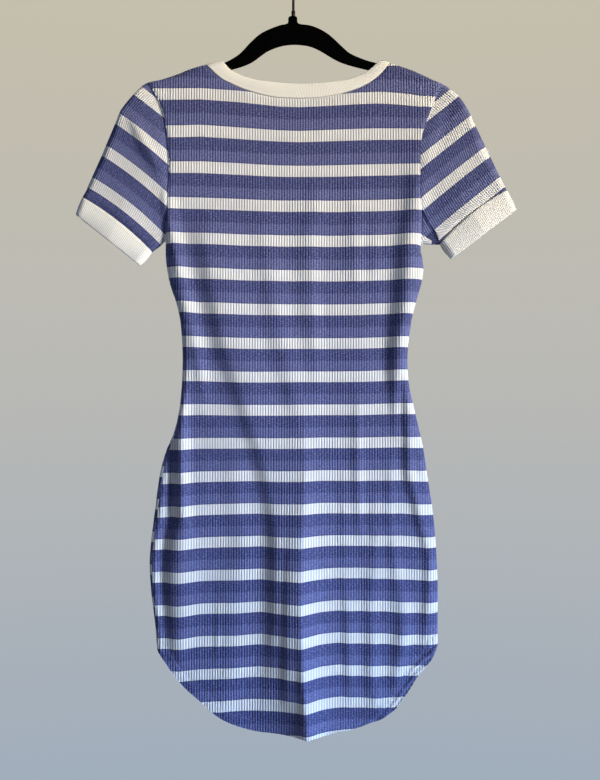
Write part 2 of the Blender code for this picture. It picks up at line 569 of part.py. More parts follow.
def build_panel(name, front, material):
    """A body panel: ribs along each column outside, a plain face inside."""
    edge = panel_lattice(front)
    loop = len(edge)
    spans = column_spans(edge)
    points = [tuple(item[0]) for item in edge]
    fixed = [(i, (i + 1) % loop) for i in range(loop)]

    # The inner face keeps every fourth column, and every second one towards the sides
    kept = [i for i, item in enumerate(edge) if not isinstance(item[2], int) or inner_column(item[2])]
    seen = {k: n for n, k in enumerate(kept)}
    owner = {i: nearest_kept(i, kept, loop) for i in range(loop)}
    inner_points = [points[i] for i in kept]
    count = len(kept)
    inner_fixed = [(i, (i + 1) % count) for i in range(count)]
    for tag, rows in spans.items():
        u = tag * 0.5 * RIB_PITCH
        for (low, first, _), (high, last, top) in zip(rows[0::2], rows[1::2]):
            levels = column_rows(u, low, high, front, top)
            chain = [first]
            for z in levels:
                chain.append(len(points))
                points.append((u, z))
            chain.append(last)
            fixed += list(zip(chain[:-1], chain[1:]))
            if inner_column(tag):
                chain = [seen[first]]
                for z in levels:
                    chain.append(len(inner_points))
                    inner_points.append((u, z))
                chain.append(seen[last])
                inner_fixed += list(zip(chain[:-1], chain[1:]))
    outer_faces = triangles(points, fixed, loop)
    flat = np.array(points)
    outer = cloth_point(flat[:, 0], flat[:, 1], front, rib_lift(flat[:, 0]), 0.0)
    inner_faces = triangles(inner_points, inner_fixed, count)
    flat = np.array(inner_points)
    inner = cloth_point(flat[:, 0], flat[:, 1], front, np.zeros(len(flat)), WALL)
    base = len(outer)
    faces = [tuple(f) for f in outer_faces]
    faces += [(c + base, b + base, a + base) for a, b, c in inner_faces]
    rim = close_rim(list(range(loop)), [base + i for i in range(count)], owner)
    faces += [tuple(reversed(f)) for f in rim]
    if front:
        faces = [tuple(reversed(f)) for f in faces]
    return make_object(name, np.vstack([outer, inner]), faces, material)


def nearest_kept(i, kept, loop):
    """Finds which kept edge point is the fewest steps from an edge point, round the loop."""
    steps = [min((i - k) % loop, (k - i) % loop) + (0.1 if (k - i) % loop < (i - k) % loop else 0)
             for k in kept]
    return steps.index(min(steps))


def inner_column(tag):
    """Tells whether the plain inner face has points under a column."""
    return tag % (2 if abs(tag) * 0.5 * RIB_PITCH > FINE_FROM else 4) == 0


def sleeve_frame(cuff):
    """Gives the sleeve's axis and the way across it, both as laid flat."""
    (ox, oz), (ix, iz) = cuff["seam"]
    across = np.array([ix - ox, iz - oz])
    across /= np.hypot(*across)
    along = np.array([across[1], -across[0]])
    if along[1] > 0:
        along = -along
    return along, across


def sleeve_columns(hand, count):
    """Lays the sleeve's ribs along its axis, each from the armhole to the cuff's seam."""
    left = hand == "left"
    cuff = CUFF_LEFT if left else CUFF_RIGHT
    along, across = sleeve_frame(cuff)
    outer = smooth_curve(SHOULDER_LEFT if left else SHOULDER_RIGHT, 0.0015)[:, :2]
    side = SIDE_LEFT if left else SIDE_RIGHT
    under = np.array(side[4][:2])
    corner = np.array(cuff["seam"][1])
    end = np.dot(np.array(cuff["seam"][0]), along) - SEAM
    s_under = np.dot(under, along)
    order = np.argsort(outer @ along)
    outer_s = (outer @ along)[order]
    outer_t = (outer @ across)[order]
    armhole = smooth_curve(ARMHOLE_LEFT if left else ARMHOLE_RIGHT, 0.0015)[:, :2]
    order = np.argsort(armhole[:, 1])
    arm_z = armhole[order, 1]
    arm_x = armhole[order, 0] + (-1 if left else 1) * 1.17 * SEAM
    arm_x += (-1 if left else 1) * 0.0007 * (1 - ease((arm_z - arm_z[0]) / 0.010))
    wide_top = np.dot(under, across) - np.interp(s_under, outer_s, outer_t)
    wide_end = np.dot(corner, across) - np.interp(end, outer_s, outer_t)
    roll = 0.009
    extra = roll_length(roll) - roll

    def flat(share, s):
        width = wide_top + (wide_end - wide_top) * np.clip((s - s_under) / (end - s_under), 0, 1)
        total = width + 2 * extra
        arc = share * total
        quarter = roll_length(roll)
        t = np.where(arc < quarter, roll * (1 - np.cos(0.5 * math.pi * arc / quarter)), arc - extra)
        back = total - arc
        far = width - roll * (1 - np.cos(0.5 * math.pi * np.clip(back, 0, None) / quarter))
        t = np.where(back < quarter, far, t)
        t = t + np.interp(s, outer_s, outer_t)
        return s[:, None] * along + t[:, None] * across

    columns = []
    for share in np.linspace(0, 1, count + 1):
        s = np.linspace(outer_s[0], s_under + 0.004, 5000)
        p = flat(np.full_like(s, share), s)
        limit = np.interp(p[:, 1], arm_z, arm_x)
        outside = (p[:, 0] < limit) if left else (p[:, 0] > limit)
        outside |= p[:, 1] > arm_z[-1]
        crossing = np.nonzero(~outside)[0]
        start = s[min(crossing[-1] + 1, len(s) - 1)] if len(crossing) else s_under
        if share > 0.999:
            start = s_under + SEAM
        columns.append((share, start))
    return columns, end, flat


def build_sleeve(name, hand, material):
    """A set-in sleeve: a flattened tube from the armhole to the cuff's seam."""
    half = SLEEVE_RIBS
    columns, end, flat = sleeve_columns(hand, half)
    order = list(range(half + 1)) + list(range(half - 1, 0, -1))
    front = [False] * (half + 1) + [True] * (half - 1)
    count = len(order)
    rows = len(SLEEVE_ROWS)
    outer = []
    inner = []
    for t in SLEEVE_ROWS:
        share = np.array([columns[k][0] for k in order])
        start = np.array([columns[k][1] for k in order])
        p = flat(share, start + (end - start) * t)
        spot, way = cloth(p[:, 0], p[:, 1], np.array(front))
        edge = np.isclose(share, 0) | np.isclose(share, 1)
        spot[edge, 1] = 0.0
        way[edge, 1] = 0.0
        lift = RIB_HEIGHT * (np.arange(count) % 2)
        outer.append(spot + way * lift[:, None])
        inner.append(spot[::4] - way[::4] * WALL)
    points = np.vstack(outer + inner)
    few = count // 4
    base = rows * count
    faces = []
    for r in range(rows - 1):
        for c in range(count):
            d = (c + 1) % count
            faces.append((r * count + c, (r + 1) * count + c, (r + 1) * count + d))
            faces.append((r * count + c, (r + 1) * count + d, r * count + d))
        for c in range(few):
            d = (c + 1) % few
            faces.append((base + r * few + c, base + (r + 1) * few + d, base + (r + 1) * few + c))
            faces.append((base + r * few + c, base + r * few + d, base + (r + 1) * few + d))
    owner = {i: i // 4 for i in range(count)}
    top = close_rim(list(range(count)), [base + i for i in range(few)], owner)
    low = close_rim([(rows - 1) * count + i for i in range(count)],
                    [base + (rows - 1) * few + i for i in range(few)], owner)
    faces += [tuple(reversed(f)) for f in top]
    faces += low
    if hand == "right":
        faces = [tuple(reversed(f)) for f in faces]
    return make_object(name, points, faces, material)


def even_loop(back_rows, front_rows, count):
    """Spaces points evenly along the hung cloth round a closed line of back and front."""
    halves = []
    for rows, front in ((back_rows, False), (front_rows[::-1], True)):
        line = smooth_curve(rows, 0.0004)[:, :2]
        spot, _ = cloth(line[:, 0], line[:, 1], front)
        far = np.concatenate([[0], np.cumsum(np.linalg.norm(np.diff(spot, axis=0), axis=1))])
        t = np.linspace(0, 1, count // 2 + 1)[:-1]
        marks = far[-1] * (t - 0.7 * np.sin(2 * math.pi * t) / (2 * math.pi))
        x = np.interp(marks, far, line[:, 0])
        z = np.interp(marks, far, line[:, 1])
        halves.append((x, z, np.full(len(marks), front)))
    return [np.concatenate(parts) for parts in zip(*halves)]


def build_band(name, start_loop, end_loop, clockwise, material):
    """A rib band between two closed lines of the cloth, with a softly rounded open edge."""
    count = len(start_loop[0])
    outer = []
    inner = []
    for t, thin in ((0.0, 0.0), (0.5, 0.0), (0.93, 0.0), (1.0, 0.0006)):
        x = start_loop[0] * (1 - t) + end_loop[0] * t
        z = start_loop[1] * (1 - t) + end_loop[1] * t
        spot, way = cloth(x, z, start_loop[2])
        for i in (0, count // 2):
            spot[i, 1] = 0.0
            way[i, 1] = 0.0
        outer.append(spot - way * thin)
        if t not in (0.5,):
            inner.append(spot - way * (BAND_WALL - thin))
    rings = outer + inner[::-1]
    points = np.vstack(rings)
    faces = []
    total = len(rings)
    for r in range(total):
        s = (r + 1) % total
        for c in range(count):
            d = (c + 1) % count
            faces.append((r * count + c, s * count + c, s * count + d))
            faces.append((r * count + c, s * count + d, r * count + d))
    if clockwise:
        faces = [tuple(reversed(f)) for f in faces]
    return make_object(name, points, faces, material)


def pull(loop, towards, gap):
    """Moves a loop's points a little towards another loop."""
    x, z, front = loop
    dx = towards[0] - x
    dz = towards[1] - z
    size = np.maximum(np.hypot(dx, dz), 1e-6)
    return [x + dx / size * gap, z + dz / size * gap, front]


def build_neckband(material):
    """The rib band round the neck."""
    seam = even_loop(NECK_SEAM_BACK, NECK_SEAM_FRONT, BAND_COLUMNS)
    edge = even_loop(NECK_EDGE_BACK, NECK_EDGE_FRONT, BAND_COLUMNS)
    return build_band("neckband", pull(seam, edge, 1.8 * SEAM), edge, True, material)


def build_cuff(name, cuff, right, material):
    """The rib band at a sleeve's end."""
    rows = {}
    for key, ends in cuff.items():
        line = [(*ends[0],), tuple(0.5 * (a + b) for a, b in zip(*ends)), (*ends[1],)]
        rows[key] = even_loop(line, line, CUFF_COLUMNS)
    return build_band(name, pull(rows["seam"], rows["edge"], SEAM), rows["edge"], right, material)


def hanger_edges(x):
    """Gives the hanger's top and bottom edge at a station."""
    if -0.1100 <= x <= 0.1200:
        top = np.array(YOKE_TOP)
        low = smooth_curve([(a, b) for a, b in YOKE_BOTTOM], 0.002)
        return np.interp(x, top[:, 0], top[:, 1]), np.interp(x, low[:, 0], low[:, 1])
    left = x < 0
    table = smooth_curve(SHOULDER_LEFT if left else SHOULDER_RIGHT)
    table = table[np.argsort(table[:, 0])]
    slope = (np.interp(x + 0.004, table[:, 0], table[:, 1])
             - np.interp(x - 0.004, table[:, 0], table[:, 1])) / 0.008
    drop = math.hypot(1, slope)
    join = -0.1174 if left else 0.1286
    under_band = abs(x) < abs(join) + 0.004
    clear = BAND_CLEAR if under_band else ARM_CLEAR
    clear += TIP_CLEAR * ease((abs(x) - 0.180) / 0.012)
    tip = TIP_LEFT if left else TIP_RIGHT
    end = abs(tip) - abs(x)
    round_off = 0.0035 * (1 - math.sqrt(max(0.0, 1 - (1 - min(end / 0.0035, 1)) ** 2)))
    top = np.interp(x, table[:, 0], table[:, 1]) - clear * drop - round_off
    return top, top - (ARM_DEPTH * drop - 2 * round_off)


def curve_object(name, points, cyclic, flat, material):
    """Makes a curve through x and z points, standing in the XZ plane."""
    curve = bpy.data.curves.new(name, "CURVE")
    curve.dimensions = "2D" if flat else "3D"
    line = curve.splines.new("POLY")
    line.points.add(len(points) - 1)
    for point, (x, z) in zip(line.points, points):
        point.co = (x, z, 0.0, 1.0)
    line.use_cyclic_u = cyclic
    curve.materials.append(material)
    item = bpy.data.objects.new(name, curve)
    item.rotation_euler = (0.5 * math.pi, 0.0, 0.0)
    collection.objects.link(item)
    return item


def build_hanger_body(material):
    """The flat body: arched yoke, sloping arms and a stub that takes the hook."""
    stations = [TIP_LEFT, -0.2070, -0.1970, -0.1840, -0.1680, -0.1450, -0.1290, -0.1213, -0.1100]
    stations += [row[0] for row in YOKE_TOP[1:-1]]
    stations += [0.1200, 0.1325, 0.1400, 0.1560, 0.1750, 0.1880, 0.1990, 0.2090, 0.2165, TIP_RIGHT]
    edges = [hanger_edges(x) for x in stations]
    outline = [(x, top) for x, (top, _) in zip(stations, edges)]
    outline += [(x, low) for x, (_, low) in zip(stations, edges)][::-1]
    item = curve_object("hanger_body", outline, True, True, material)
    item.data.fill_mode = "BOTH"
    item.data.extrude = 0.5 * HANGER_THICK - HANGER_EDGE
    item.data.bevel_depth = HANGER_EDGE
    item.data.bevel_resolution = 0
    item.data.offset = -HANGER_EDGE
    return item


def build_hook(material):
    """The wire hook, with the collar at its foot."""
    foot = [(0.0, HOOK_FOOT), (0.0, COLLAR_TOP), (0.0, COLLAR_TOP + 0.0002)]
    line = [tuple(p) for p in smooth_curve(HOOK_PATH, 0.0052)]
    item = curve_object("hanger_hook", foot + line, False, False, material)
    item.data.bevel_depth = 0.5 * WIRE
    item.data.bevel_resolution = 2
    item.data.use_fill_caps = True
    for point in item.data.splines[0].points[:2]:
        point.radius = COLLAR / WIRE
    return item


clear_scene()
collection = bpy.data.collections.new("tshirt_dress_on_hanger")
bpy.context.scene.collection.children.link(collection)
knit = make_material("rib_knit", (0.32, 0.33, 0.56), 0.9)
trim = make_material("rib_trim", (0.86, 0.83, 0.76), 0.9)
flock = make_material("flock", (0.02, 0.02, 0.02), 0.95)
wire = make_material("black_wire", (0.03, 0.03, 0.03), 0.4)
build_panel("back_panel", False, knit)
build_panel("front_panel", True, knit)
build_sleeve("sleeve_left", "left", knit)
build_sleeve("sleeve_right", "right", knit)
build_cuff("cuff_left", CUFF_LEFT, False, trim)
build_cuff("cuff_right", CUFF_RIGHT, True, trim)
build_neckband(trim)
build_hanger_body(flock)
build_hook(wire)
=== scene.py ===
"""Looks of the rib-knit T-shirt dress on its flocked hanger, piece by piece."""

import math

import bpy
import numpy as np
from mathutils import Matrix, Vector


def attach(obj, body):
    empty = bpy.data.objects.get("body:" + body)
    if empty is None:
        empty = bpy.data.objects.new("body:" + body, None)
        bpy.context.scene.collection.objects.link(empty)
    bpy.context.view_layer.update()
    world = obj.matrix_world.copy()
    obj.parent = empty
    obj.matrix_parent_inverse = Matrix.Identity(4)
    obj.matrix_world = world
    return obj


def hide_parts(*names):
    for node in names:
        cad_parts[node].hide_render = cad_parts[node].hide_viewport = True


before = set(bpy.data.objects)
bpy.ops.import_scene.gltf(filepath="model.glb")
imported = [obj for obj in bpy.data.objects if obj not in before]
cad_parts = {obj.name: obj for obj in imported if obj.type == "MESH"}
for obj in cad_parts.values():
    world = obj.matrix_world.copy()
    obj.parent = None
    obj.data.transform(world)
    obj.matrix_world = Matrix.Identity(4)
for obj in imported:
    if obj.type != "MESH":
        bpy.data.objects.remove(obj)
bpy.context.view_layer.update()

# ------------------------------------------------------------------------------ hanger body
# The flat hanger: a moulded plastic plate with an arched yoke and two sloping arms, flocked all
# over with short black nylon. Its arms carry the dress from inside the shoulders.
PLATE = 0.0054
PLATE_EDGE = 0.0018
CURVE_STEP = 0.0025


def mm(table):
    """Turns a table of millimetres into metres."""
    if isinstance(table, dict):
        return {key: mm(value) for key, value in table.items()}
    if isinstance(table, (list, tuple)):
        return type(table)(mm(value) for value in table)
    return round(table / 1000, 8)


# The yoke's top and underside, rows of x and z
YOKE_TOP = mm([
    (-110, -134.3), (-100, -132.1), (-93.5, -130), (-84.2, -125.8), (-70.9, -117), (-57.6, -103),
    (-44.3, -91.2), (-31, -84.3), (-18, -79.5), (-7.5, -76.6), (-6, -68.2), (4.5, -68.2),
    (6.3, -76.6), (22.2, -79.6), (35.5, -84.6), (48.8, -93), (66.1, -109), (75.4, -116.8),
    (96.7, -125.9), (112.7, -130.2), (120, -132.1)])
YOKE_BOTTOM = mm([
    (-110, -145.2), (-93.5, -140.8), (-77.5, -136.8), (-64.2, -132.5), (-53.6, -127.4),
    (-44.3, -120.6), (-33.6, -113.3), (-17.7, -107.2), (-4.4, -105), (8.9, -105.1), (22.2, -107.3),
    (35.5, -113), (55.5, -124.8), (68.8, -130.5), (96.7, -138), (112.7, -141), (120, -143)])
# The arms from left to right: x, top and underside
ARM_LEFT = mm([
    (-213, -183, -190.5), (-211, -176.8, -192.1), (-207, -171.8, -187.7), (-197, -162.3, -175.1),
    (-184, -156.6, -167.8), (-168, -152.4, -163.9), (-145, -144.1, -156.1), (-129, -138.8, -150.3),
    (-118, -136.2, -147.4)])
ARM_RIGHT = mm([
    (130, -134.5, -145.8), (140, -136.8, -148.2), (156, -141.8, -153.6), (175, -150.3, -162.5),
    (188, -157.2, -169.1), (199, -162.9, -175.4), (209, -169.8, -183.7), (216.5, -176.4, -191.5),
    (221, -182.2, -198.2), (223, -188.8, -197.5)])


def smooth_curve(rows, step):
    """Runs a smooth line through rows of numbers, with points about a step apart."""
    pts = np.array(rows, dtype=float)
    out = []
    for i in range(len(pts) - 1):
        a = pts[max(i - 1, 0)]
        b = pts[i]
        c = pts[i + 1]
        d = pts[min(i + 2, len(pts) - 1)]
        span = np.hypot(*(c - b)[:2])
        before = np.hypot(*(b - a)[:2])
        after = np.hypot(*(d - c)[:2])
        slope_b = (c - a) * span / (span + before) if before > 0 else (c - b)
        slope_c = (d - b) * span / (span + after) if after > 0 else (c - b)
        count = max(1, int(math.ceil(span / step)))
        for k in range(count):
            t = k / count
            out.append(b * (2 * t ** 3 - 3 * t ** 2 + 1) + slope_b * (t ** 3 - 2 * t ** 2 + t)
                       + c * (3 * t ** 2 - 2 * t ** 3) + slope_c * (t ** 3 - t ** 2))
    out.append(pts[-1])
    return np.array(out)


def standing_curve(name, points, material, flat=False):
    """Makes a curve through x and z points, which stands in the plane of the hanger."""
    curve = bpy.data.curves.new(name, "CURVE")
    curve.dimensions = "2D" if flat else "3D"
    line = curve.splines.new("POLY")
    line.points.add(len(points) - 1)
    for point, (x, z) in zip(line.points, points):
        point.co = (x, z, 0.0, 1.0)
    line.use_cyclic_u = flat
    curve.materials.append(material)
    return curve


def add_object(name, data):
    """Puts an object with the given data into the scene."""
    item = bpy.data.objects.new(name, data)
    bpy.context.scene.collection.objects.link(item)
    return item


def make_plain(name, curve):
    """Turns a standing curve into a mesh with its place in the mesh."""
    item = add_object(name + "_curve", curve)
    seen = item.evaluated_get(bpy.context.evaluated_depsgraph_get())
    mesh = bpy.data.meshes.new_from_object(seen)
    bpy.data.objects.remove(item)
    spots = np.empty(3 * len(mesh.vertices))
    mesh.vertices.foreach_get("co", spots)
    spots = spots.reshape(-1, 3)[:, [0, 2, 1]] * (1, -1, 1)
    mesh.vertices.foreach_set("co", spots.ravel())
    mesh.update()
    mesh.set_sharp_from_angle(angle=math.radians(35))
    return add_object(name, mesh)


class Value:
    """A socket in a material, with arithmetic that adds Math nodes."""

    def __init__(self, finish, socket):
        self.finish = finish
        self.socket = socket

    def __add__(self, other):
        return self.finish.math("ADD", self, other)

    def __radd__(self, other):
        return self.finish.math("ADD", other, self)

    def __sub__(self, other):
        return self.finish.math("SUBTRACT", self, other)

    def __rsub__(self, other):
        return self.finish.math("SUBTRACT", other, self)

    def __mul__(self, other):
        return self.finish.math("MULTIPLY", self, other)

    def __rmul__(self, other):
        return self.finish.math("MULTIPLY", other, self)

    def __abs__(self):
        return self.finish.math("ABSOLUTE", self)


class Finish:
    """A procedural material, made node by node."""

    def __init__(self, name, constants):
        self.material = bpy.data.materials.new(name)
        self.material.use_nodes = True
        self.tree = self.material.node_tree
        self.shader = self.tree.nodes["Principled BSDF"]
        for socket, value in constants.items():
            self.shader.inputs[socket].default_value = value

    def node(self, kind, settings, inputs, output=None):
        """Adds a node: its settings first, then the values or links of its sockets."""
        node = self.tree.nodes.new("ShaderNode" + kind)
        for key, value in settings.items():
            setattr(node, key, value)
        for key, value in inputs.items():
            if isinstance(key, int):
                self.plug(node.inputs[key], value)
            else:
                self.plug(next(s for s in node.inputs if s.name == key and s.enabled), value)
        if output is None:
            return Value(self, next(s for s in node.outputs if s.enabled))
        return Value(self, node.outputs[output])

    def plug(self, socket, value):
        """Sets or links one socket."""
        if isinstance(value, Value):
            self.tree.links.new(value.socket, socket)
        else:
            socket.default_value = value

    def math(self, operation, *values):
        """Adds a Math node."""
        return self.node("Math", {"operation": operation}, dict(enumerate(values)))

    def mix(self, share, one, other, blend="MIX"):
        """Blends two colours."""
        settings = {"data_type": "RGBA", "blend_type": blend}
        return self.node("Mix", settings, {"Factor": share, "A": one, "B": other})

    def step(self, value, start, end):
        """Rises smoothly from 0 to 1 as a value goes from start to end."""
        settings = {"interpolation_type": "SMOOTHSTEP"}
        return self.node("MapRange", settings, {"Value": value, "From Min": start, "From Max": end})

    def place(self):
        """The point of the object that is being shaded."""
        return self.node("TexCoord", {}, {}, "Object")

    def mark(self, name):
        """A number that is stored at the points of the mesh."""
        return self.node("Attribute", {"attribute_name": name}, {}, "Fac")

    def noise(self, place, detail, scale=1.0, stretch=None):
        """Soft noise round 0.5, if need be from a place that is scaled along each axis."""
        if stretch:
            place = self.node("Mapping", {}, {"Vector": place, "Scale": stretch})
        return self.node("TexNoise", {}, {"Vector": place, "Scale": scale, "Detail": detail}, "Fac")

    def tint(self, colour, strength):
        """Feeds the shader's colour, made darker or lighter from place to place."""
        grey = self.node("CombineColor", {}, {key: strength for key in ("Red", "Green", "Blue")})
        self.give("Base Color", self.mix(1.0, colour, grey, "MULTIPLY"))

    def emboss(self, strength, distance, height):
        """Feeds the shader's normal with low relief."""
        values = {"Strength": strength, "Distance": distance, "Height": height}
        self.give("Normal", self.node("Bump", {}, values))

    def give(self, socket, value):
        """Feeds one of the shader's sockets."""
        self.plug(self.shader.inputs[socket], value)


flock = Finish("black velvet flock", {
    "Specular IOR Level": 0.01, "Sheen Weight": 0.004, "Sheen Roughness": 0.5,
    "Sheen Tint": (0.30, 0.30, 0.33, 1)})
nap = flock.noise(flock.place(), 3.0, 1600.0)
brushed = flock.noise(flock.place(), 4.0, 70.0)
flock.give("Base Color", flock.mix(brushed * nap * 1.6, (0.0004, 0.0004, 0.0004, 1),
                                   (0.0018, 0.0018, 0.0017, 1)))
flock.give("Roughness", 0.82 + 0.15 * nap)
flock.emboss(0.5, 0.0003, nap)

top_line = [row[:2] for row in ARM_LEFT] + YOKE_TOP[1:-1] + [row[:2] for row in ARM_RIGHT]
low_line = [row[::2] for row in ARM_LEFT] + YOKE_BOTTOM[1:-1] + [row[::2] for row in ARM_RIGHT]
plate_line = np.vstack([smooth_curve(top_line, CURVE_STEP),
                        smooth_curve(low_line, CURVE_STEP)[::-1]])
plate = standing_curve("hanger plate", plate_line, flock.material, flat=True)
plate.fill_mode = "BOTH"
plate.extrude = 0.5 * PLATE - PLATE_EDGE
plate.bevel_depth = PLATE_EDGE
plate.bevel_resolution = 3
plate.offset = -PLATE_EDGE
hanger = make_plain("hanger_plate", plate)
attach(hanger, "root")
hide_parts("hanger_body")

# ------------------------------------------------------------------------------ hanger hook
# The hook: a bent steel wire, painted satin black, which turns in a short ferrule pressed into
# the hanger's stub.
WIRE = 0.0034
FERRULE = 0.0052
FERRULE_FOOT = -0.0676
FERRULE_TOP = -0.0602
HOOK_PATH = mm([
    (0, -46.5), (1.4, -42), (5.2, -38.2), (10.6, -34.6), (15.5, -29.5), (18.5, -23), (19, -16),
    (16.8, -8.5), (11.7, -2.3), (4.5, 1.1), (-3.3, 1.4), (-10.8, -1.7), (-16.3, -7.6),
    (-18.9, -15.3), (-18.4, -23)])

paint = Finish("satin black paint", {"Specular IOR Level": 0.2})
speck = paint.noise(paint.place(), 2.0, 900.0)
rub = paint.noise(paint.place(), 5.0, 120.0)
worn = paint.step(rub, 0.60, 0.72)
paint.give("Base Color", paint.mix(worn, (0.010, 0.010, 0.011, 1), (0.035, 0.034, 0.035, 1)))
paint.give("Roughness", 0.34 + 0.18 * rub)
paint.emboss(0.1, 0.00005, speck)

ferrule = [(0.0, FERRULE_FOOT), (0.0, FERRULE_FOOT + 0.0004), (0.0, FERRULE_TOP - 0.0006),
           (0.0, FERRULE_TOP), (0.0, FERRULE_TOP + 0.0001)]
ferrule_size = [0.9, 1.0, 1.0, 0.86, WIRE / FERRULE]
hook_line = ferrule + [tuple(p) for p in smooth_curve(HOOK_PATH, 0.0015)]
bend = standing_curve("hook wire", hook_line, paint.material)
bend.bevel_depth = 0.5 * WIRE
bend.bevel_resolution = 6
bend.use_fill_caps = True
for point, size in zip(bend.splines[0].points, ferrule_size):
    point.radius = size * FERRULE / WIRE
hook = make_plain("hook", bend)
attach(hook, "root")
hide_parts("hanger_hook")

# ------------------------------------------------------------------------------ body panels
# The back and the front of the dress, each cut in one piece from striped rib jersey and joined at
# the shoulders and down the sides. They hang from the hanger's arms, flat and double, in soft
# folds that start under the arms and gather into one ridge down the back.
# The cloth and its ribs, which are drawn with four columns of points each
CLOTH = 0.0012
RIB_PITCH = 0.0035
RIB_HEIGHT = 0.00075
COLUMNS_PER_RIB = 4
COLUMN = RIB_PITCH / COLUMNS_PER_RIB
# Half the thickness of the hung dress at its rolled edges, how much more it bulges inside them,
# and how far in from them the bulge and the folds reach their full height
FOLD_DEPTH = 0.0070
BULGE = 0.0040
BULGE_REACH = 0.070
FOLD_REACH = 0.030
# Distances of the first rows of points from the shoulders and the hem, then how many even rows
# follow, and how many run beside the armholes and the sides
SHOULDER_EDGE = [0.0, 0.00025, 0.0010, 0.0022, 0.0040, 0.0062, 0.0090]
HEM_EDGE = [0.0, 0.0020, 0.0050, 0.0090, 0.0125, 0.0150]
SHOULDER_ROWS = 15
ARMHOLE_ROWS = 8
SIDE_ROWS = 55
HEM_ROWS = 9
# Steps along the outline and the cut edges, the step for slopes, and points handled at a time
OUTLINE_STEP = 0.003
CUT_STEP = 0.0008
SLOPE_STEP = 0.0006
AT_A_TIME = 3000
# Points this near the outline, or this far outside it, count as lying on it
AT_EDGE = 5e-5
OVERSHOOT = 0.001
# Heights of the underarms and of the body's narrowest places between the armholes
UNDERARM = {"left": -0.3646, "right": -0.3700}
UNDERARM_EASE = 0.030
NARROWEST = {"left": -0.2851, "right": -0.3009}
# Seams are drawn in, and deeper under the arms
SEAM_SINK = 0.0010
SEAM_REACH = 0.0021
PINCH = 1.4
PINCH_LEVEL = -0.345
PINCH_REACH = 0.025
# The turned hem: slanting puckers, which are higher at the right, its second layer, and the dent
# along its stitching
HEM_TURN = 0.0130
PUCKER = 0.0003
PUCKER_RIGHT = 0.0009
PUCKER_RIGHT_FROM = 0.06
PUCKER_PITCH = 0.0105
PUCKER_SLANT = 0.9
PUCKER_PLACE = 0.005
PUCKER_REACH = 0.006
HEM_SWELL = 0.0006
STITCH_DENT = 0.0009
STITCH_DENT_REACH = 0.0022

# Edges of the laid-flat shape, rows of x, z and the width over which the cloth rolls to the back.
# The sides start with four points under the sleeve, from its cuff to the underarm
SLEEVE_POINTS = 4
SHOULDER = mm({
    "left": [
        (-80, -123.5, 7), (-94.8, -127.2, 7), (-117.4, -132.5, 7), (-137.4, -138.5, 7),
        (-150.7, -144, 7), (-164, -148.7, 7), (-177.3, -152.7, 7), (-191.9, -155.8, 7),
        (-201.2, -161.1, 7), (-209.2, -169.1, 7), (-219.8, -181, 7), (-230.5, -195.7, 7),
        (-235.5, -211.6, 8), (-241.1, -227.6, 9), (-247.8, -242.2, 9), (-253.1, -255.5, 9),
        (-259.7, -268.8, 9), (-266.7, -284, 9), (-273, -297.1, 9), (-279.7, -308.7, 9),
        (-284, -320.5, 9), (-289, -331.3, 9), (-293.5, -343, 9)],
    "right": [
        (99, -122.8, 7), (115.3, -126.5, 7), (128.6, -130.3, 7), (141.9, -134.5, 7),
        (155.2, -139, 7), (168.5, -144.7, 7), (181.8, -151, 7), (196.4, -157.5, 7),
        (207.1, -164, 7), (220, -175.1, 7), (229, -187.7, 7), (235, -199, 7), (241.7, -215.6, 8),
        (251, -242, 9), (260.3, -260, 9), (273.6, -281.5, 9), (282.9, -298.8, 9), (290, -313, 9),
        (296.2, -324.7, 9), (301, -337, 9)]})
SIDE = mm({
    "left": [
        (-216, -409, 9), (-203.9, -398.5, 9), (-187.9, -380.5, 9), (-177.3, -372.6, 9),
        (-169.5, -364.6, 9), (-169.3, -373, 9), (-169.3, -384.5, 9), (-168, -397.8, 9),
        (-165.2, -415.1, 9), (-161, -431.1, 9), (-156, -444.4, 9), (-149.7, -471, 9),
        (-146.7, -510.9, 9), (-146.7, -537.5, 9), (-148, -564.1, 10), (-151, -590.7, 9),
        (-157, -617.3, 9), (-168, -643.9, 9), (-175.6, -670.5, 9), (-179.9, -697.1, 9),
        (-183.2, -723.7, 9), (-188.2, -763.6, 9), (-190.3, -790.2, 9), (-189.5, -816.8, 9),
        (-187, -843.4, 9), (-183.5, -870, 9), (-181.3, -896.6, 9), (-179.9, -909.9, 9),
        (-178.5, -930, 9), (-177, -960, 9), (-175, -1060, 9)],
    "right": [
        (219.5, -401, 9), (209.4, -389.9, 9), (195.1, -370, 7), (183, -370.5, 7), (168.5, -370, 7),
        (168.2, -376, 6), (169.8, -384.5, 6), (172.2, -397.8, 6), (171.2, -415.1, 6),
        (167.2, -431.1, 6), (163.2, -444.4, 6), (156.5, -471, 6), (151.5, -510.9, 8),
        (151.2, -537.5, 9), (154.2, -564.1, 9), (160.5, -590.7, 9), (166.8, -617.3, 9),
        (172.5, -643.9, 9), (176.5, -670.5, 10), (180.5, -697.1, 11), (184.5, -723.7, 12),
        (188.5, -763.6, 12), (189.8, -790.2, 12), (191.1, -816.8, 12), (191.3, -843.4, 11),
        (191.2, -870, 10), (191.1, -903.2, 9), (189.5, -930, 9), (188, -960, 9), (186, -1060, 9)]})

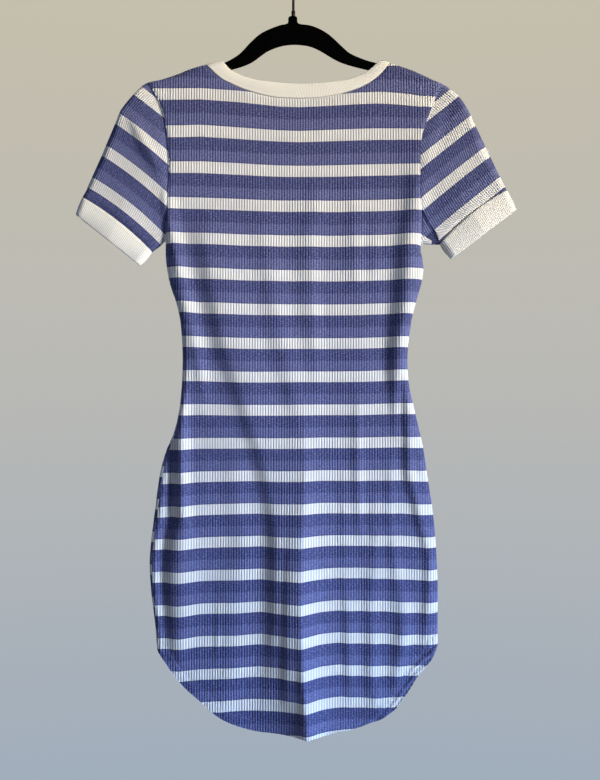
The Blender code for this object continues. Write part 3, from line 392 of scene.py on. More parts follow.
# Seams and hems on the laid-flat shape, rows of x and z. The first eight points of an armhole
# reach down to where it is narrowest
NARROWEST_POINT = 8
NECK_SEAM_BACK = mm([
    (-117.4, -132.5), (-96.7, -152), (-83.5, -159.2), (-70.2, -165.6), (-57, -170.4),
    (-43.7, -174.5), (-30.5, -177.5), (-17.4, -179.1), (8.9, -180.1), (35.2, -178.8),
    (48.3, -176.7), (61.5, -174), (74.7, -170.2), (87.9, -165), (101.2, -157.8), (114.6, -147),
    (128.6, -130.3)])
NECK_SEAM_FRONT = mm([
    (-117.4, -132.5), (-105, -162), (-88, -190), (-64, -213), (-33, -229), (5.7, -235),
    (44.5, -229), (75.5, -213), (99.5, -190), (116.5, -162), (128.6, -130.3)])
ARMHOLE = mm({
    "left": [
        (-191.9, -155.8), (-180.1, -177.5), (-176, -186), (-171.8, -198), (-168.6, -211),
        (-166.3, -228.2), (-164.4, -248.2), (-163.7, -285.1), (-165, -320.4), (-169.5, -364.6)],
    "right": [
        (196.4, -157.5), (186, -183.4), (181.7, -194.3), (177.2, -206), (172.7, -217.3),
        (169.6, -230), (167.4, -245), (166.8, -300.9), (169, -330), (168.5, -370)]})
HEM_BACK = mm([
    (-179.9, -909.9), (-173.2, -918.7), (-162.6, -933.6), (-151.8, -947.4), (-141.1, -958.9),
    (-122.6, -974.4), (-109.4, -986.2), (-96.3, -995.7), (-83.1, -1002.3), (-70, -1007.2),
    (-56.8, -1010.6), (-43.5, -1012.6), (-30.3, -1013.2), (-17.2, -1013.8), (-4.1, -1014.8),
    (8.9, -1016), (21.8, -1016.2), (34.8, -1015.3), (48, -1013.8), (61.3, -1012), (74.5, -1010.4),
    (87.7, -1007.2), (101, -1002.5), (114.1, -998), (124.6, -992), (133.8, -984.9),
    (140.5, -976.5), (147.1, -967.5), (153.8, -958), (160.5, -947.8), (167.3, -938), (175.3, -929),
    (183.6, -918.7), (191.1, -903.2)])
HEM_FRONT = mm([
    (-179.9, -909.9), (-170, -923), (-150, -948), (-125, -970), (-95, -990), (-60, -1004),
    (-25, -1011), (6, -1013), (40, -1011), (75, -1003), (108, -989), (135, -969), (160, -945),
    (180, -922), (191.1, -903.2)])

# How far the side seams lie round the fold towards the back, rows of z and cloth length
SEAM_TURN = mm({
    "left": [
        (-909.9, 0), (-890, 4.5), (-840, 6.5), (-760, 8), (-676, 8), (-630, 7), (-570, 0),
        (-364.6, 0)],
    "right": [(-903.2, 0), (-870, -4), (-760, -6), (-630, -5), (-570, 0), (-370, 0)]})

# Soft folds, rows of z, x, half-width and height out of the cloth
BACK_FOLDS = mm({
    "underarm to waist": [
        (-314.2, -105.5, 16.8, 0), (-366.8, -114.5, 16.8, 3.5), (-393.2, -108.1, 16.8, 5.5),
        (-419.4, -105.5, 16.8, 6), (-472, -93.7, 16.8, 6.4), (-498.4, -88.4, 16.5, 6.6),
        (-551, -70, 16, 6.4), (-603.6, -54.2, 15.5, 6.2), (-656.2, -35.8, 15, 6),
        (-708.8, -25.3, 13, 5.2), (-761.4, -20, 12, 4.6), (-814, -21.3, 12, 4.4),
        (-866.6, -20, 12, 4), (-919.2, -24, 12, 2.6), (-971.8, -32, 12, 1.6), (-1030, -36, 12, 0)],
    "chest centre": [
        (-270, -45, 15, 0), (-314.2, -45, 16, 0.8), (-366.8, -34.5, 16.5, 2.5),
        (-419.4, -28.6, 17, 4), (-472, -21.4, 17, 4.2), (-524.6, -8.2, 16.5, 4.6),
        (-577.2, 3.6, 16, 4.2), (-603.6, 6, 15, 3), (-656.2, 8, 14, 0)],
    "hem ridge": [
        (-570, 15, 22, 0), (-603.6, 15, 24, 3.2), (-656.2, 16, 26, 6.6), (-708.8, 14, 29, 11.2),
        (-737, 12, 31, 13.8), (-787.6, 11, 33, 17), (-816.8, 10, 33, 19), (-870, 10, 34, 20.6),
        (-923.2, 11.6, 35, 21.4), (-976.4, 16, 36, 21.8), (-1029.6, 19, 36, 22)],
    "right waist hollow": [
        (-380, 113, 17, 0), (-460, 117, 17, -1), (-540, 118, 18, -1.4), (-640, 119, 18, -1),
        (-740, 127, 18, 0)],
    "left hip fold": [
        (-629.8, -76.6, 15, 0), (-656.2, -76.6, 15, 2), (-708.8, -75.3, 15, 2.4),
        (-761.4, -66.1, 18, 3.4), (-814, -73.9, 22, 4.6), (-866.6, -76.6, 22, 4.8),
        (-919.2, -79.2, 22, 4.4), (-971.8, -87.1, 20, 3.4), (-1020, -90, 20, 0)]})
FRONT_FOLDS = mm({
    "bust to hem left": [
        (-300, -90, 18, 0), (-400, -86, 20, 3.6), (-520, -74, 21, 5.6), (-640, -76, 22, 6),
        (-760, -86, 24, 6.6), (-900, -94, 27, 8), (-1030, -98, 29, 9)],
    "bust to hem right": [
        (-320, 100, 18, 0), (-420, 93, 20, 4), (-540, 76, 21, 5.8), (-660, 70, 22, 6.2),
        (-780, 74, 25, 8), (-900, 80, 28, 10), (-1030, 84, 30, 11.5)],
    "waist centre": [
        (-420, 10, 14, 0), (-520, 6, 15, 2.4), (-620, -2, 16, 2.6), (-720, -6, 17, 0)],
    "left waist fold": [
        (-400, -140, 12, 0), (-500, -130, 12, 2.8), (-580, -132, 13, 3), (-680, -145, 14, 0)],
    "right waist fold": [
        (-420, 145, 12, 0), (-510, 135, 12, 2.6), (-600, 140, 13, 3), (-700, 152, 14, 0)]})

# Small creases between the folds, in the same rows
BACK_CREASES = mm({
    "blade ridge": [
        (-280, 29.9, 17, 0), (-314.2, 29.9, 18, 2.2), (-366.8, 22.7, 18, 3.2),
        (-445.8, 24, 17, 3.6), (-498.4, 27.3, 16, 3.2), (-551, 31.3, 15, 2.2), (-590, 28, 15, 1.2),
        (-630, 26, 15, 0)],
    "right chest crease": [
        (-270, 81.2, 12, 0), (-314.2, 81.2, 12, 1.4), (-366.8, 81.2, 12, 2.6),
        (-419.4, 82.5, 11, 1.8), (-445.8, 84, 11, 0.6), (-470, 85, 11, 0)],
    "right underarm crease": [
        (-314.2, 108.8, 9, 0), (-366.8, 108.8, 9, 1.1), (-419.4, 109.5, 9, 1.3),
        (-472, 111, 9, 0.8), (-500, 111, 9, 0)],
    "right waist crease": [
        (-551, 85.2, 8, 0), (-577.2, 85.2, 8, 1.4), (-629.8, 85.2, 8, 2.4), (-682.4, 85.2, 8, 3.2),
        (-708.8, 87, 8, 3), (-735, 87, 8, 2.2), (-761.4, 87.8, 8, 1), (-790, 88, 8, 0)],
    "right of ridge crease": [
        (-656.2, 66.8, 8, 0), (-708.8, 67.5, 8, 2), (-761.4, 68.1, 8, 1.4), (-814, 70, 8, 1.4),
        (-840.2, 72, 9, 3), (-892.8, 73.3, 9, 4), (-945.4, 74.7, 8, 3), (-980, 75, 8, 1.2),
        (-1000, 75, 8, 0)],
    "right hip crease": [
        (-682.4, 108.2, 10, 0), (-708.8, 108.2, 9, 1), (-761.4, 108.2, 10, 2.2),
        (-814, 107.5, 11, 2.7), (-840.2, 102.3, 11, 2.6), (-892.8, 104.9, 11, 3.8),
        (-919.2, 103.6, 11, 4.4), (-945.4, 103.6, 11, 4.4), (-971.8, 109, 11, 3.6),
        (-1000, 109, 11, 0)],
    "right hem crease": [
        (-630, 129, 8, 0), (-656.2, 129, 8, 1.2), (-682.4, 129, 8, 2), (-735, 128.5, 9, 2.2),
        (-761.4, 131, 9, 2.2), (-814, 137.8, 10, 2.6), (-840.2, 143, 11, 3.4),
        (-866.6, 144.3, 11, 4.4), (-892.8, 144.3, 11, 5.2), (-919.2, 140, 10, 4.2),
        (-945.4, 136, 9, 3), (-970, 135, 9, 0)],
    "left hip streak": [
        (-830, -97.5, 4, 0), (-880, -99, 4, 0.9), (-910, -100, 4, 0.9), (-935, -101, 4, 0)],
    "left of ridge crease": [
        (-720, -21.3, 8, 0), (-761.4, -20, 8, 1.4), (-814, -21.3, 8, 1.2), (-866.6, -22, 8, 1),
        (-892.8, -26, 8, 1), (-930, -28, 8, 0)],
    "near ridge crease": [
        (-740, -3, 7, 0), (-761.4, -3, 7, 1), (-814, -5, 7, 2), (-840.2, -5.6, 7, 2.8),
        (-892.8, -6, 7, 3), (-945.4, -6.9, 7, 3), (-980, -6.9, 7, 1.2), (-1000, -6.9, 7, 0)],
    "ridge crest": [
        (-800, 11.5, 7, 0), (-866.6, 11.8, 7, 1.5), (-919.2, 12.8, 7, 3), (-971.8, 15.5, 7, 3.4),
        (-1030, 18, 7, 3.6)],
    "left seat crease": [
        (-690, -162, 4, 0), (-718, -150, 4, 1.2), (-736, -140, 4, 1), (-756, -128, 4, 0)],
    "left sleeve fold": [
        (-200, -219, 6, 0), (-211.7, -210.7, 7, 2.8), (-248.5, -191, 7, 4.8), (-275, -177, 6, 3.4),
        (-290, -170, 5, 0)],
    "left sleeve dent": [
        (-285, -234, 4, 0), (-295.8, -230.5, 4, 1), (-310, -224, 4, 1), (-322, -218, 4, 0)],
    "right sleeve hollow": [
        (-170, 215, 7, 0), (-182.8, 210.1, 8, -1.8), (-209, 202.2, 8, -2), (-235.4, 193, 8, -1.4),
        (-261.6, 185.1, 7, 0)]})
# Rolls of cloth that stand up beside the side folds, in the same rows
SIDE_ROLLS = mm({
    "left underarm ridge": [
        (-285, -168, 6, 0), (-314.2, -167.3, 6, 3.6), (-340.6, -163.4, 6, 5.6),
        (-366.8, -159.4, 6, 6.4), (-393.2, -152.9, 6, 5), (-419.4, -148.9, 6, 2.4),
        (-445.8, -142.3, 5, 0.6), (-472, -137.1, 5, 0.8), (-498.4, -131.8, 5, 1),
        (-551, -122.6, 5, 1), (-590, -118, 5, 0)],
    "left edge swell": [
        (-366.8, -159.4, 44, 0), (-393.2, -152.9, 44, 2), (-419.4, -148.9, 44, 4.4),
        (-445.8, -142.3, 44, 5.6), (-472, -137.1, 44, 5.4), (-498.4, -131.8, 44, 5),
        (-524.6, -126.5, 44, 4), (-551, -122.6, 44, 3), (-577.2, -118.7, 44, 1.8),
        (-610, -117, 44, 0)],
    "left waist ridge": [
        (-524.6, -148.9, 9, 0), (-551, -148, 9, 2.8), (-577.2, -147.6, 9, 5.6),
        (-629.8, -147, 9, 7), (-682.4, -147, 9, 7), (-708.8, -146.3, 9.5, 6.8),
        (-735, -145, 11, 6), (-761.4, -147.6, 14, 6), (-787.6, -148.9, 16, 5.8),
        (-814, -148.9, 17, 5.6), (-840.2, -147.6, 17, 5.4), (-866.6, -147.6, 16, 5),
        (-892.8, -148.9, 13, 4), (-919.2, -148.9, 11, 2.4), (-950, -149, 11, 0)],
    "left hip valley": [
        (-629.8, -160, 7, 0), (-656.2, -162.1, 8, -3.5), (-682.4, -160.8, 8, -4.5),
        (-708.8, -160.8, 8, -5), (-735, -162.1, 8, -4.5), (-761.4, -170, 8, -4),
        (-814, -173.2, 8, -4), (-866.6, -170, 8, -3.6), (-906, -168, 8, -1.5), (-930, -167, 8, 0)],
    "right blade swell": [
        (-175, 168, 18, 0), (-210, 168, 20, 1.6), (-250, 167, 20, 3), (-285, 165, 18, 3.4),
        (-314.2, 163, 16, 2.6), (-360, 162, 16, 0)],
    "right side ridge": [
        (-270, 164, 12, 0), (-314.2, 160, 14, 4.6), (-340.6, 157, 15, 7.6), (-366.8, 154, 16, 9.8),
        (-393.2, 153, 16, 10.8), (-419.4, 151, 16, 11.2), (-445.8, 149, 15, 11.2),
        (-472, 145, 14, 10.6), (-498.4, 140, 12, 9.6), (-524.6, 138, 11, 8.6),
        (-551, 136.5, 10, 6.8), (-577.2, 135.1, 8, 3.8), (-603.6, 135.1, 7, 2.2),
        (-640, 135, 7, 0)],
    "right hip ridge": [
        (-510, 150, 6, 0), (-530, 150, 6, 3), (-551, 151.6, 7, 4.8), (-577.2, 151.6, 7, 5.2),
        (-603.6, 151, 7, 5.2), (-629.8, 152.9, 7, 4.6), (-656.2, 152.9, 7, 4.6),
        (-682.4, 153.6, 7, 4.6), (-708.8, 162.8, 7, 4.6), (-735, 166.7, 7, 4.2),
        (-761.4, 174.6, 7, 4), (-787.6, 179.9, 7, 3.6), (-814, 179.2, 7, 3.6),
        (-866.6, 177.2, 7, 3.4), (-892.8, 174.6, 7, 2.2), (-920, 173, 7, 0)]})
FRONT_CREASES = mm({
    "left blade hollow": [
        (-330, -55, 8, 0), (-420, -48, 8, -1.2), (-560, -40, 9, -1.2), (-680, -46, 9, 0)],
    "right blade hollow": [
        (-340, 60, 8, 0), (-450, 50, 8, -1.2), (-580, 38, 9, -1.2), (-700, 42, 9, 0)],
    "left hip crease": [
        (-720, -130, 7, 0), (-780, -134, 7, 1.2), (-880, -138, 7, 1), (-940, -140, 7, 0)],
    "right hip crease": [
        (-740, 126, 7, 0), (-800, 129, 7, 1.2), (-890, 134, 7, 1), (-950, 136, 7, 0)]})
BACK_RELIEF = BACK_FOLDS | BACK_CREASES
FRONT_RELIEF = FRONT_FOLDS | FRONT_CREASES

# How sharp a fold's crest is: 2 is round and 1 a point, which is eased by a small share
CREST = {"hem ridge": 1.25}
CREST_EASE = 0.0036
# How many times wider a fold's flank is towards the wearer's right than towards the left
LEAN = {"underarm to waist": 3.0, "left underarm ridge": 1.9, "left edge swell": 0.25,
        "chest centre": 1.2, "blade ridge": 0.70, "right waist crease": 0.9, "hem ridge": 0.85,
        "ridge crest": 2.5, "right hip ridge": 1.2, "right of ridge crease": 1.5,
        "near ridge crease": 2.0}

# Upper edges of the white stripes on the centre line, and how much higher each runs at its sides
STRIPE_TOPS = mm([
    -130.2, -176.7, -222.9, -268.8, -314.7, -360.8, -406.5, -451.4, -495.9, -539.6, -583.3, -627,
    -670.1, -713.1, -756.1, -799.4, -842.6, -885.2, -927.6, -969.6, -1011.8, -1054.5])
STRIPE_LIFT_X = mm([
    -190, -149, -122.6, -70, -43.7, -17.4, 8.9, 35.2, 61.5, 87.8, 114.1, 140.4, 166.7, 190])
STRIPE_LIFT = mm({
    -140: (11, 11, 11, 7, 4, 0.8, 0, 1.2, 2.8, 6, 9, 10.5, 10, 8),
    -176: (11, 11, 11, 7, 4, 0.8, 0, 1.2, 2.8, 4.5, 5.4, 3.6, 0.4, 0),
    -222: (7, 6.8, 7.7, 4.4, 2.5, 0.8, 0, 0.9, 1.9, 2.8, 3.4, 3.3, 2.5, 2.5),
    -314.5: (4.6, 4.6, 3.9, 2.1, 0.7, 0.1, 0, -0.3, -0.2, 0.3, 1.1, 1.8, 1.9, 1.9),
    -360: (4.8, 4.8, 3.6, 1.5, 0.7, 0.2, 0, -0.1, -0.2, 0.3, 0.8, 2.4, 2.9, 2.9),
    -451.4: (5.5, 5.1, 3, 0.8, 0.3, -0.1, 0, -0.1, 0, 0.4, 1.5, 2.3, 2.8, 2.8),
    -540: (2, 2, 1.6, -0.4, -0.6, -0.3, 0, -0.1, 0.1, 0.3, 1.3, 2.6, 2.8, 2.8),
    -712: (-6.5, -4.5, -2.1, 0, 0.3, -0.4, 0, 1, 0.6, 0.3, 0.3, 0.3, -1.6, -3),
    -799.4: (-5.3, -4.6, -2.2, 0, 0.8, 0.3, 0, 1.3, 2, 1.6, 1, 0.4, -1.8, -2.6),
    -885.2: (-7.6, -6.9, -2.9, -0.5, 1.4, 1, 0, 2.4, 3.1, 2, 1.4, -0.9, -1.9, -2.2),
    -969.6: (-8.4, -8, -5.4, -0.8, 0.4, 1.1, 0, 2.5, 3.3, 1.4, 0.3, 1.4, 1.6, 1.6),
    -1011.8: (-8.4, -8, -6, -5.5, -5, -4, 0, 1.3, 1.9, 3, 3, 3, 3, 3)})
# The front's stripes: how much higher than the back's, and how far they drop at the half-width
FRONT_STRIPES_HIGHER = 0.0076
FRONT_STRIPES_DROP = 0.0030
HALF_WIDTH = 0.18

OUTLINES = [smooth_curve(line[hand][::order], OUTLINE_STEP)
            for hand, order in (("left", 1), ("right", -1)) for line in (SHOULDER, SIDE)]
STARTS = np.vstack([line[:-1] for line in OUTLINES])
ENDS = np.vstack([line[1:] for line in OUTLINES])
SIDE_TABLE = {hand: smooth_curve(line[SLEEVE_POINTS:], OUTLINE_STEP)[::-1]
              for hand, line in SIDE.items()}


def ease(t):
    """Runs from 0 to 1 with level ends."""
    t = np.clip(t, 0.0, 1.0)
    return t * t * (3 - 2 * t)


def ease_slope(t):
    """Gives the slope of ease at t, from 0 on."""
    return np.where(t < 1, 6 * t * (1 - t), 0.0)


def fold_height(folds, x, z):
    """Adds up the folds at points of a panel."""
    total = np.zeros_like(x)
    for name, rows in folds.items():
        line = np.array(rows)[::-1].T
        centre, width, height = (np.interp(z, line[0], column) for column in line[1:])
        away = (x - centre) / width
        away = np.where(away > 0, away / LEAN.get(name, 1.0), away)
        total += height * np.exp(-np.sqrt(away ** 2 + CREST_EASE) ** CREST.get(name, 2.0))
    return total


def folds_and_slopes(back_folds, front_folds, x, z, front):
    """Gives the height of the back's or front's folds, and how it grows with x and with z."""
    def height(px, pz):
        return np.where(front, fold_height(front_folds, px, pz), fold_height(back_folds, px, pz))

    step = SLOPE_STEP
    return (height(x, z), (height(x + step, z) - height(x - step, z)) / (2 * step),
            (height(x, z + step) - height(x, z - step)) / (2 * step))


def unit(vectors):
    """Scales rows of vectors to length 1."""
    return vectors / np.linalg.norm(vectors, axis=1)[:, None]


def nearest_edge(x, z):
    """Gives each point's distance to the rolled edges, the way inwards, and the roll's width."""
    parts = [[], [], []]
    for first in range(0, len(x), AT_A_TIME):
        part = slice(first, first + AT_A_TIME)
        p = np.stack([x[part], z[part]], axis=-1)
        a = STARTS[:, :2]
        v = ENDS[:, :2] - a
        along = np.clip(np.einsum("nsk,sk->ns", p[:, None, :] - a, v) / (v * v).sum(1), 0.0, 1.0)
        gap = p[:, None, :] - (a + along[..., None] * v)
        dist = np.sqrt((gap ** 2).sum(-1))
        best = dist.argmin(1)
        rows = np.arange(len(p))
        reach = dist[rows, best]
        inward = gap[rows, best] / np.maximum(reach, 1e-9)[:, None]
        normal = np.stack([-v[best, 1], v[best, 0]], axis=-1)
        normal /= np.hypot(normal[:, 0], normal[:, 1])[:, None]
        over = (inward * normal).sum(-1) < 0
        just_over = over & (reach < OVERSHOOT)
        near = (reach < AT_EDGE) | just_over
        share = along[rows, best]
        parts[0].append(np.where(just_over, 0.0, reach))
        parts[1].append(np.where(near[:, None], normal, inward))
        parts[2].append(STARTS[best, 2] * (1 - share) + ENDS[best, 2] * share)
    return [np.concatenate(part) for part in parts]


def cloth(x, z, front, extra=0.0):
    """Lifts laid-flat points to the hung cloth: their places and outward directions."""
    reach, inward, roll = nearest_edge(x, z)
    q = np.clip(1 - reach / roll, 0.0, 1.0)
    rise = np.sqrt(np.maximum(1 - q * q, 0.0))
    height, slope_x, slope_z = folds_and_slopes(BACK_RELIEF, FRONT_RELIEF, x, z, front)
    ridge, ridge_x, ridge_z = folds_and_slopes(SIDE_ROLLS, {}, x, z, front)
    share = ease(reach / FOLD_REACH)
    swell = ease(reach / BULGE_REACH)
    depth = (FOLD_DEPTH + ridge + extra) * rise + BULGE * swell + height * share
    tilt = (height * (ease_slope(reach / FOLD_REACH) / FOLD_REACH)
            + BULGE * (ease_slope(reach / BULGE_REACH) / BULGE_REACH))
    grad_x = slope_x * share + ridge_x * rise + tilt * inward[:, 0]
    grad_z = slope_z * share + ridge_z * rise + tilt * inward[:, 1]
    side = np.where(front, 1.0, -1.0)
    steep = (FOLD_DEPTH + ridge) / roll * q
    way = np.stack([-(steep * inward[:, 0] + rise * grad_x), side * rise,
                    -(steep * inward[:, 1] + rise * grad_z)], axis=-1)
    return np.stack([x, side * depth, z], axis=-1), unit(way)


def closed_cloth(x, z, front, fold, extra=0.0):
    """Lifts points in the same way, and joins back and front at the given points of a fold."""
    spots, ways = cloth(x, z, front, extra)
    spots[fold, 1] = 0.0
    ways[fold, 1] = 0.0
    return spots, unit(ways)


def roll_length(roll):
    """Cloth length of a quarter roll of the given width."""
    return 0.5 * math.pi * np.sqrt((roll ** 2 + FOLD_DEPTH ** 2) / 2)


def turn_in(arc, roll, length):
    """How far inwards a length of cloth gets round a roll."""
    return roll * (1 - np.cos(0.5 * math.pi * arc / length))


def side_fold(z, hand):
    """Gives the body's side fold at a height: its x, its roll's width and its cloth length."""
    line = SIDE_TABLE[hand]
    share = np.maximum(ease((UNDERARM[hand] - z) / UNDERARM_EASE), 1e-3)
    roll = np.interp(z, line[:, 1], line[:, 2]) * share
    length = roll_length(roll) * share
    return np.interp(z, line[:, 1], line[:, 0]), roll, np.maximum(length, roll * 1.0001)


def flat_from_cloth(u, z, front):
    """Turns cloth widths from the centre line into laid-flat x, and notes the side of the fold."""
    x = np.array(u, dtype=float)
    face = np.full(x.shape, front)
    for hand, sign in (("left", -1.0), ("right", 1.0)):
        edge, roll, length = side_fold(z, hand)
        arc = sign * edge + (length - roll) - sign * x
        inside = (z < UNDERARM[hand]) & (arc < length) & (sign * x > 0)
        x = np.where(inside, edge - sign * turn_in(np.abs(arc), roll, length), x)
        face = np.where(inside & (arc < -0.00005), ~face, face)
    return x, face


def cloth_from_flat(x, z):
    """Turns laid-flat x back into cloth widths."""
    u = np.array(x, dtype=float)
    for hand, sign in (("left", -1.0), ("right", 1.0)):
        edge, roll, length = side_fold(z, hand)
        depth = np.clip((edge - x) * sign, 0.0, None)
        arc = length * np.arccos(np.clip(1 - depth / roll, -1, 1)) * 2 / math.pi
        inside = (z < UNDERARM[hand]) & (depth < roll) & (sign * x > 0)
        u = np.where(inside, sign * (sign * edge + (length - roll) - arc), u)
    return u


def hem_line(rows, step):
    """A hem's edge, in cloth widths and heights."""
    line = smooth_curve(rows, step)
    line[:, 0] = cloth_from_flat(line[:, 0], line[:, 1])
    return line


def side_line(hand, front):
    """A panel's edge from the armhole's narrowest point to the hem's corner, in cloth widths."""
    sign = -1.0 if hand == "left" else 1.0
    arm = np.array(ARMHOLE[hand])[::-1]
    corner = HEM_BACK[0][1] if hand == "left" else HEM_BACK[-1][1]
    high = np.linspace(NARROWEST[hand], UNDERARM[hand], ARMHOLE_ROWS + 1)[:-1]
    low = np.linspace(UNDERARM[hand], corner, SIDE_ROWS + 1)
    edge, roll, length = side_fold(low, hand)
    turn = np.array(SEAM_TURN[hand])
    shift = np.interp(low, turn[:, 0], turn[:, 1]) * (-1 if front else 1)
    u = [np.interp(high, arm[:, 1], arm[:, 0]), edge + sign * (length - roll - shift)]
    return np.stack([np.concatenate(u), np.concatenate([high, low])], axis=-1)


def steps_down(span, first_steps, count):
    """Distances from an edge: a few given steps, then even ones to the far end."""
    near = np.array(first_steps) * min(1.0, span / (2.0 * first_steps[-1]))
    return np.concatenate([near, np.linspace(near[-1], span, count + 1)[1:]])


def lace(lower, upper):
    """Joins two rows of (width, point) with quads where their widths match, else triangles."""
    faces = []
    a = 0
    b = 0
    while a < len(lower) - 1 or b < len(upper) - 1:
        next_a = lower[a + 1][0] if a + 1 < len(lower) else math.inf
        next_b = upper[b + 1][0] if b + 1 < len(upper) else math.inf
        if abs(next_a - next_b) < 1e-7:
            faces.append((lower[a][1], lower[a + 1][1], upper[b + 1][1], upper[b][1]))
            a += 1
            b += 1
        elif next_a < next_b:
            faces.append((lower[a][1], lower[a + 1][1], upper[b][1]))
            a += 1
        else:
            faces.append((lower[a][1], upper[b + 1][1], upper[b][1]))
            b += 1
    return faces


class Cut:
    """A panel as it is cut: its points as cloth width and height, and its faces."""

    def __init__(self):
        self.points = []
        self.faces = []

    def add(self, u, z):
        """Adds a point."""
        self.points.append((float(u), float(z)))
        return len(self.points) - 1


def rows_between(cut, left, right):
    """Lays rows of points from one side edge to the other."""
    rows = []
    for (ul, zl), (ur, zr) in zip(left, right):
        inner = np.arange(math.ceil(ul / COLUMN + 0.25), math.floor(ur / COLUMN - 0.25) + 1)
        heights = zl + (zr - zl) * (inner * COLUMN - ul) / (ur - ul)
        row = [(ul, cut.add(ul, zl))]
        row += [(k * COLUMN, cut.add(k * COLUMN, z)) for k, z in zip(inner, heights)]
        row.append((ur, cut.add(ur, zr)))
        rows.append(row)
    for upper, lower in zip(rows[:-1], rows[1:]):
        cut.faces += lace(lower, upper)
    return rows


def columns_up(cut, top_row, armholes, neck):
    """Lays columns up to the neck and the shoulders, past the row's ends beside the armholes."""
    shoulders = np.vstack([smooth_curve(SHOULDER["left"], CUT_STEP)[::-1, :2],
                           smooth_curve(SHOULDER["right"], CUT_STEP)[:, :2]])
    base = {round(u / COLUMN): index for u, index in top_row[1:-1]}
    tips = [line[0] for line in ARMHOLE.values()]
    first = math.ceil(tips[0][0] / COLUMN + 0.25)
    last = math.floor(tips[1][0] / COLUMN - 0.25)
    columns = {}
    for k in range(first, last + 1):
        u = k * COLUMN
        if k in base:
            start = base[k]
            low = cut.points[start][1]
        elif top_row[0][0] - 0.25 * COLUMN < u < top_row[-1][0] + 0.25 * COLUMN:
            continue
        else:
            line = armholes[0] if u < 0 else armholes[1]
            order = np.argsort(line[:, 0])
            low = np.interp(u, line[order, 0], line[order, 1])
            start = cut.add(u, low)
        high = np.interp(u, shoulders[:, 0], shoulders[:, 1])
        if neck[0, 0] < u < neck[-1, 0]:
            high = np.interp(u, neck[:, 0], neck[:, 1])
        drops = steps_down(high - low, SHOULDER_EDGE, SHOULDER_ROWS)[::-1]
        columns[k] = [start] + [cut.add(u, high - d) for d in drops[1:]]
    keys = sorted(columns)
    for k, after in zip(keys[:-1], keys[1:]):
        a = columns[k]
        b = columns[after]
        cut.faces += [(a[j], b[j], b[j + 1], a[j + 1]) for j in range(len(a) - 1)]
        if (k in base) != (after in base):
            end = top_row[-1] if k in base else top_row[0]
            cut.faces.append((a[0], end[1], b[0]))
    left_tip = cut.add(*tips[0])
    right_tip = cut.add(*tips[1])
    a = columns[keys[0]]
    b = columns[keys[-1]]
    cut.faces += [(left_tip, a[j], a[j + 1]) for j in range(len(a) - 1)]
    cut.faces += [(b[j], right_tip, b[j + 1]) for j in range(len(b) - 1)]


def columns_down(cut, low_row, hem):
    """Lays columns down to the hem, and closes them at the hem's two corners."""
    columns = []
    for u, index in low_row[1:-1]:
        low = np.interp(u, hem[:, 0], hem[:, 1])
        drops = steps_down(cut.points[index][1] - low, HEM_EDGE, HEM_ROWS)[::-1]
        columns.append([index] + [cut.add(u, low + d) for d in drops[1:]])
    for a, b in zip(columns[:-1], columns[1:]):
        cut.faces += [(a[j + 1], b[j + 1], b[j], a[j]) for j in range(len(a) - 1)]
    left_corner = low_row[0][1]
    right_corner = low_row[-1][1]
    a = columns[0]
    b = columns[-1]
    cut.faces += [(left_corner, a[j + 1], a[j]) for j in range(len(a) - 1)]
    cut.faces += [(b[j], b[j + 1], right_corner) for j in range(len(b) - 1)]


def cut_panel(neck_rows, hem_rows, front):
    """Cuts a panel: its points, its faces, the lines of its seams, and its hem's edge."""
    sides = [side_line(hand, front) for hand in SIDE]
    armholes = [smooth_curve(line[:NARROWEST_POINT], CUT_STEP) for line in ARMHOLE.values()]
    neck = smooth_curve(neck_rows, CUT_STEP)
    hem = hem_line(hem_rows, CUT_STEP)
    cut = Cut()
    rows = rows_between(cut, *sides)
    columns_up(cut, rows[0], armholes, neck)
    columns_down(cut, rows[-1], hem)
    return np.array(cut.points), cut.faces, sides + armholes + [neck], hem


def distance_to(points, line):
    """Distance of flat points to a line."""
    a = line[:-1]
    v = line[1:] - a
    out = []
    for first in range(0, len(points), AT_A_TIME):
        p = points[first:first + AT_A_TIME, None, :]
        along = np.clip(((p - a) * v).sum(-1) / (v * v).sum(-1), 0.0, 1.0)
        out.append(np.sqrt(((p - a - along[..., None] * v) ** 2).sum(-1)).min(1))
    return np.concatenate(out)


def stripe_place(x, z, front):
    """Counts the stripes from the top: whole at each white stripe's upper edge."""
    levels = sorted(STRIPE_LIFT)
    heights = mm(levels)
    lifts = np.array([np.interp(x, STRIPE_LIFT_X, STRIPE_LIFT[level]) for level in levels])
    spot = np.clip(np.interp(z, heights, np.arange(len(levels))), 0, len(levels) - 1.0001)
    under = spot.astype(int)
    share = spot - under
    column = np.arange(len(x))
    lift = lifts[under, column] * (1 - share) + lifts[under + 1, column] * share
    if front:
        lift = FRONT_STRIPES_HIGHER - FRONT_STRIPES_DROP * (x / HALF_WIDTH) ** 2
    return np.interp(-(z - lift), -np.array(STRIPE_TOPS), np.arange(len(STRIPE_TOPS)))


def add_nodes(tree, made, steps):
    """Adds nodes to a tree: each input is a value, or an output of a node that is already made."""
    for key, kind, settings, inputs in steps:
        made[key] = tree.nodes.new(kind)
        for setting, value in settings.items():
            setattr(made[key], setting, value)
        for socket, value in inputs.items():
            if isinstance(value, tuple) and value[0] in made:
                tree.links.new(made[value[0]].outputs[value[1]], made[key].inputs[socket])
            else:
                made[key].inputs[socket].default_value = value


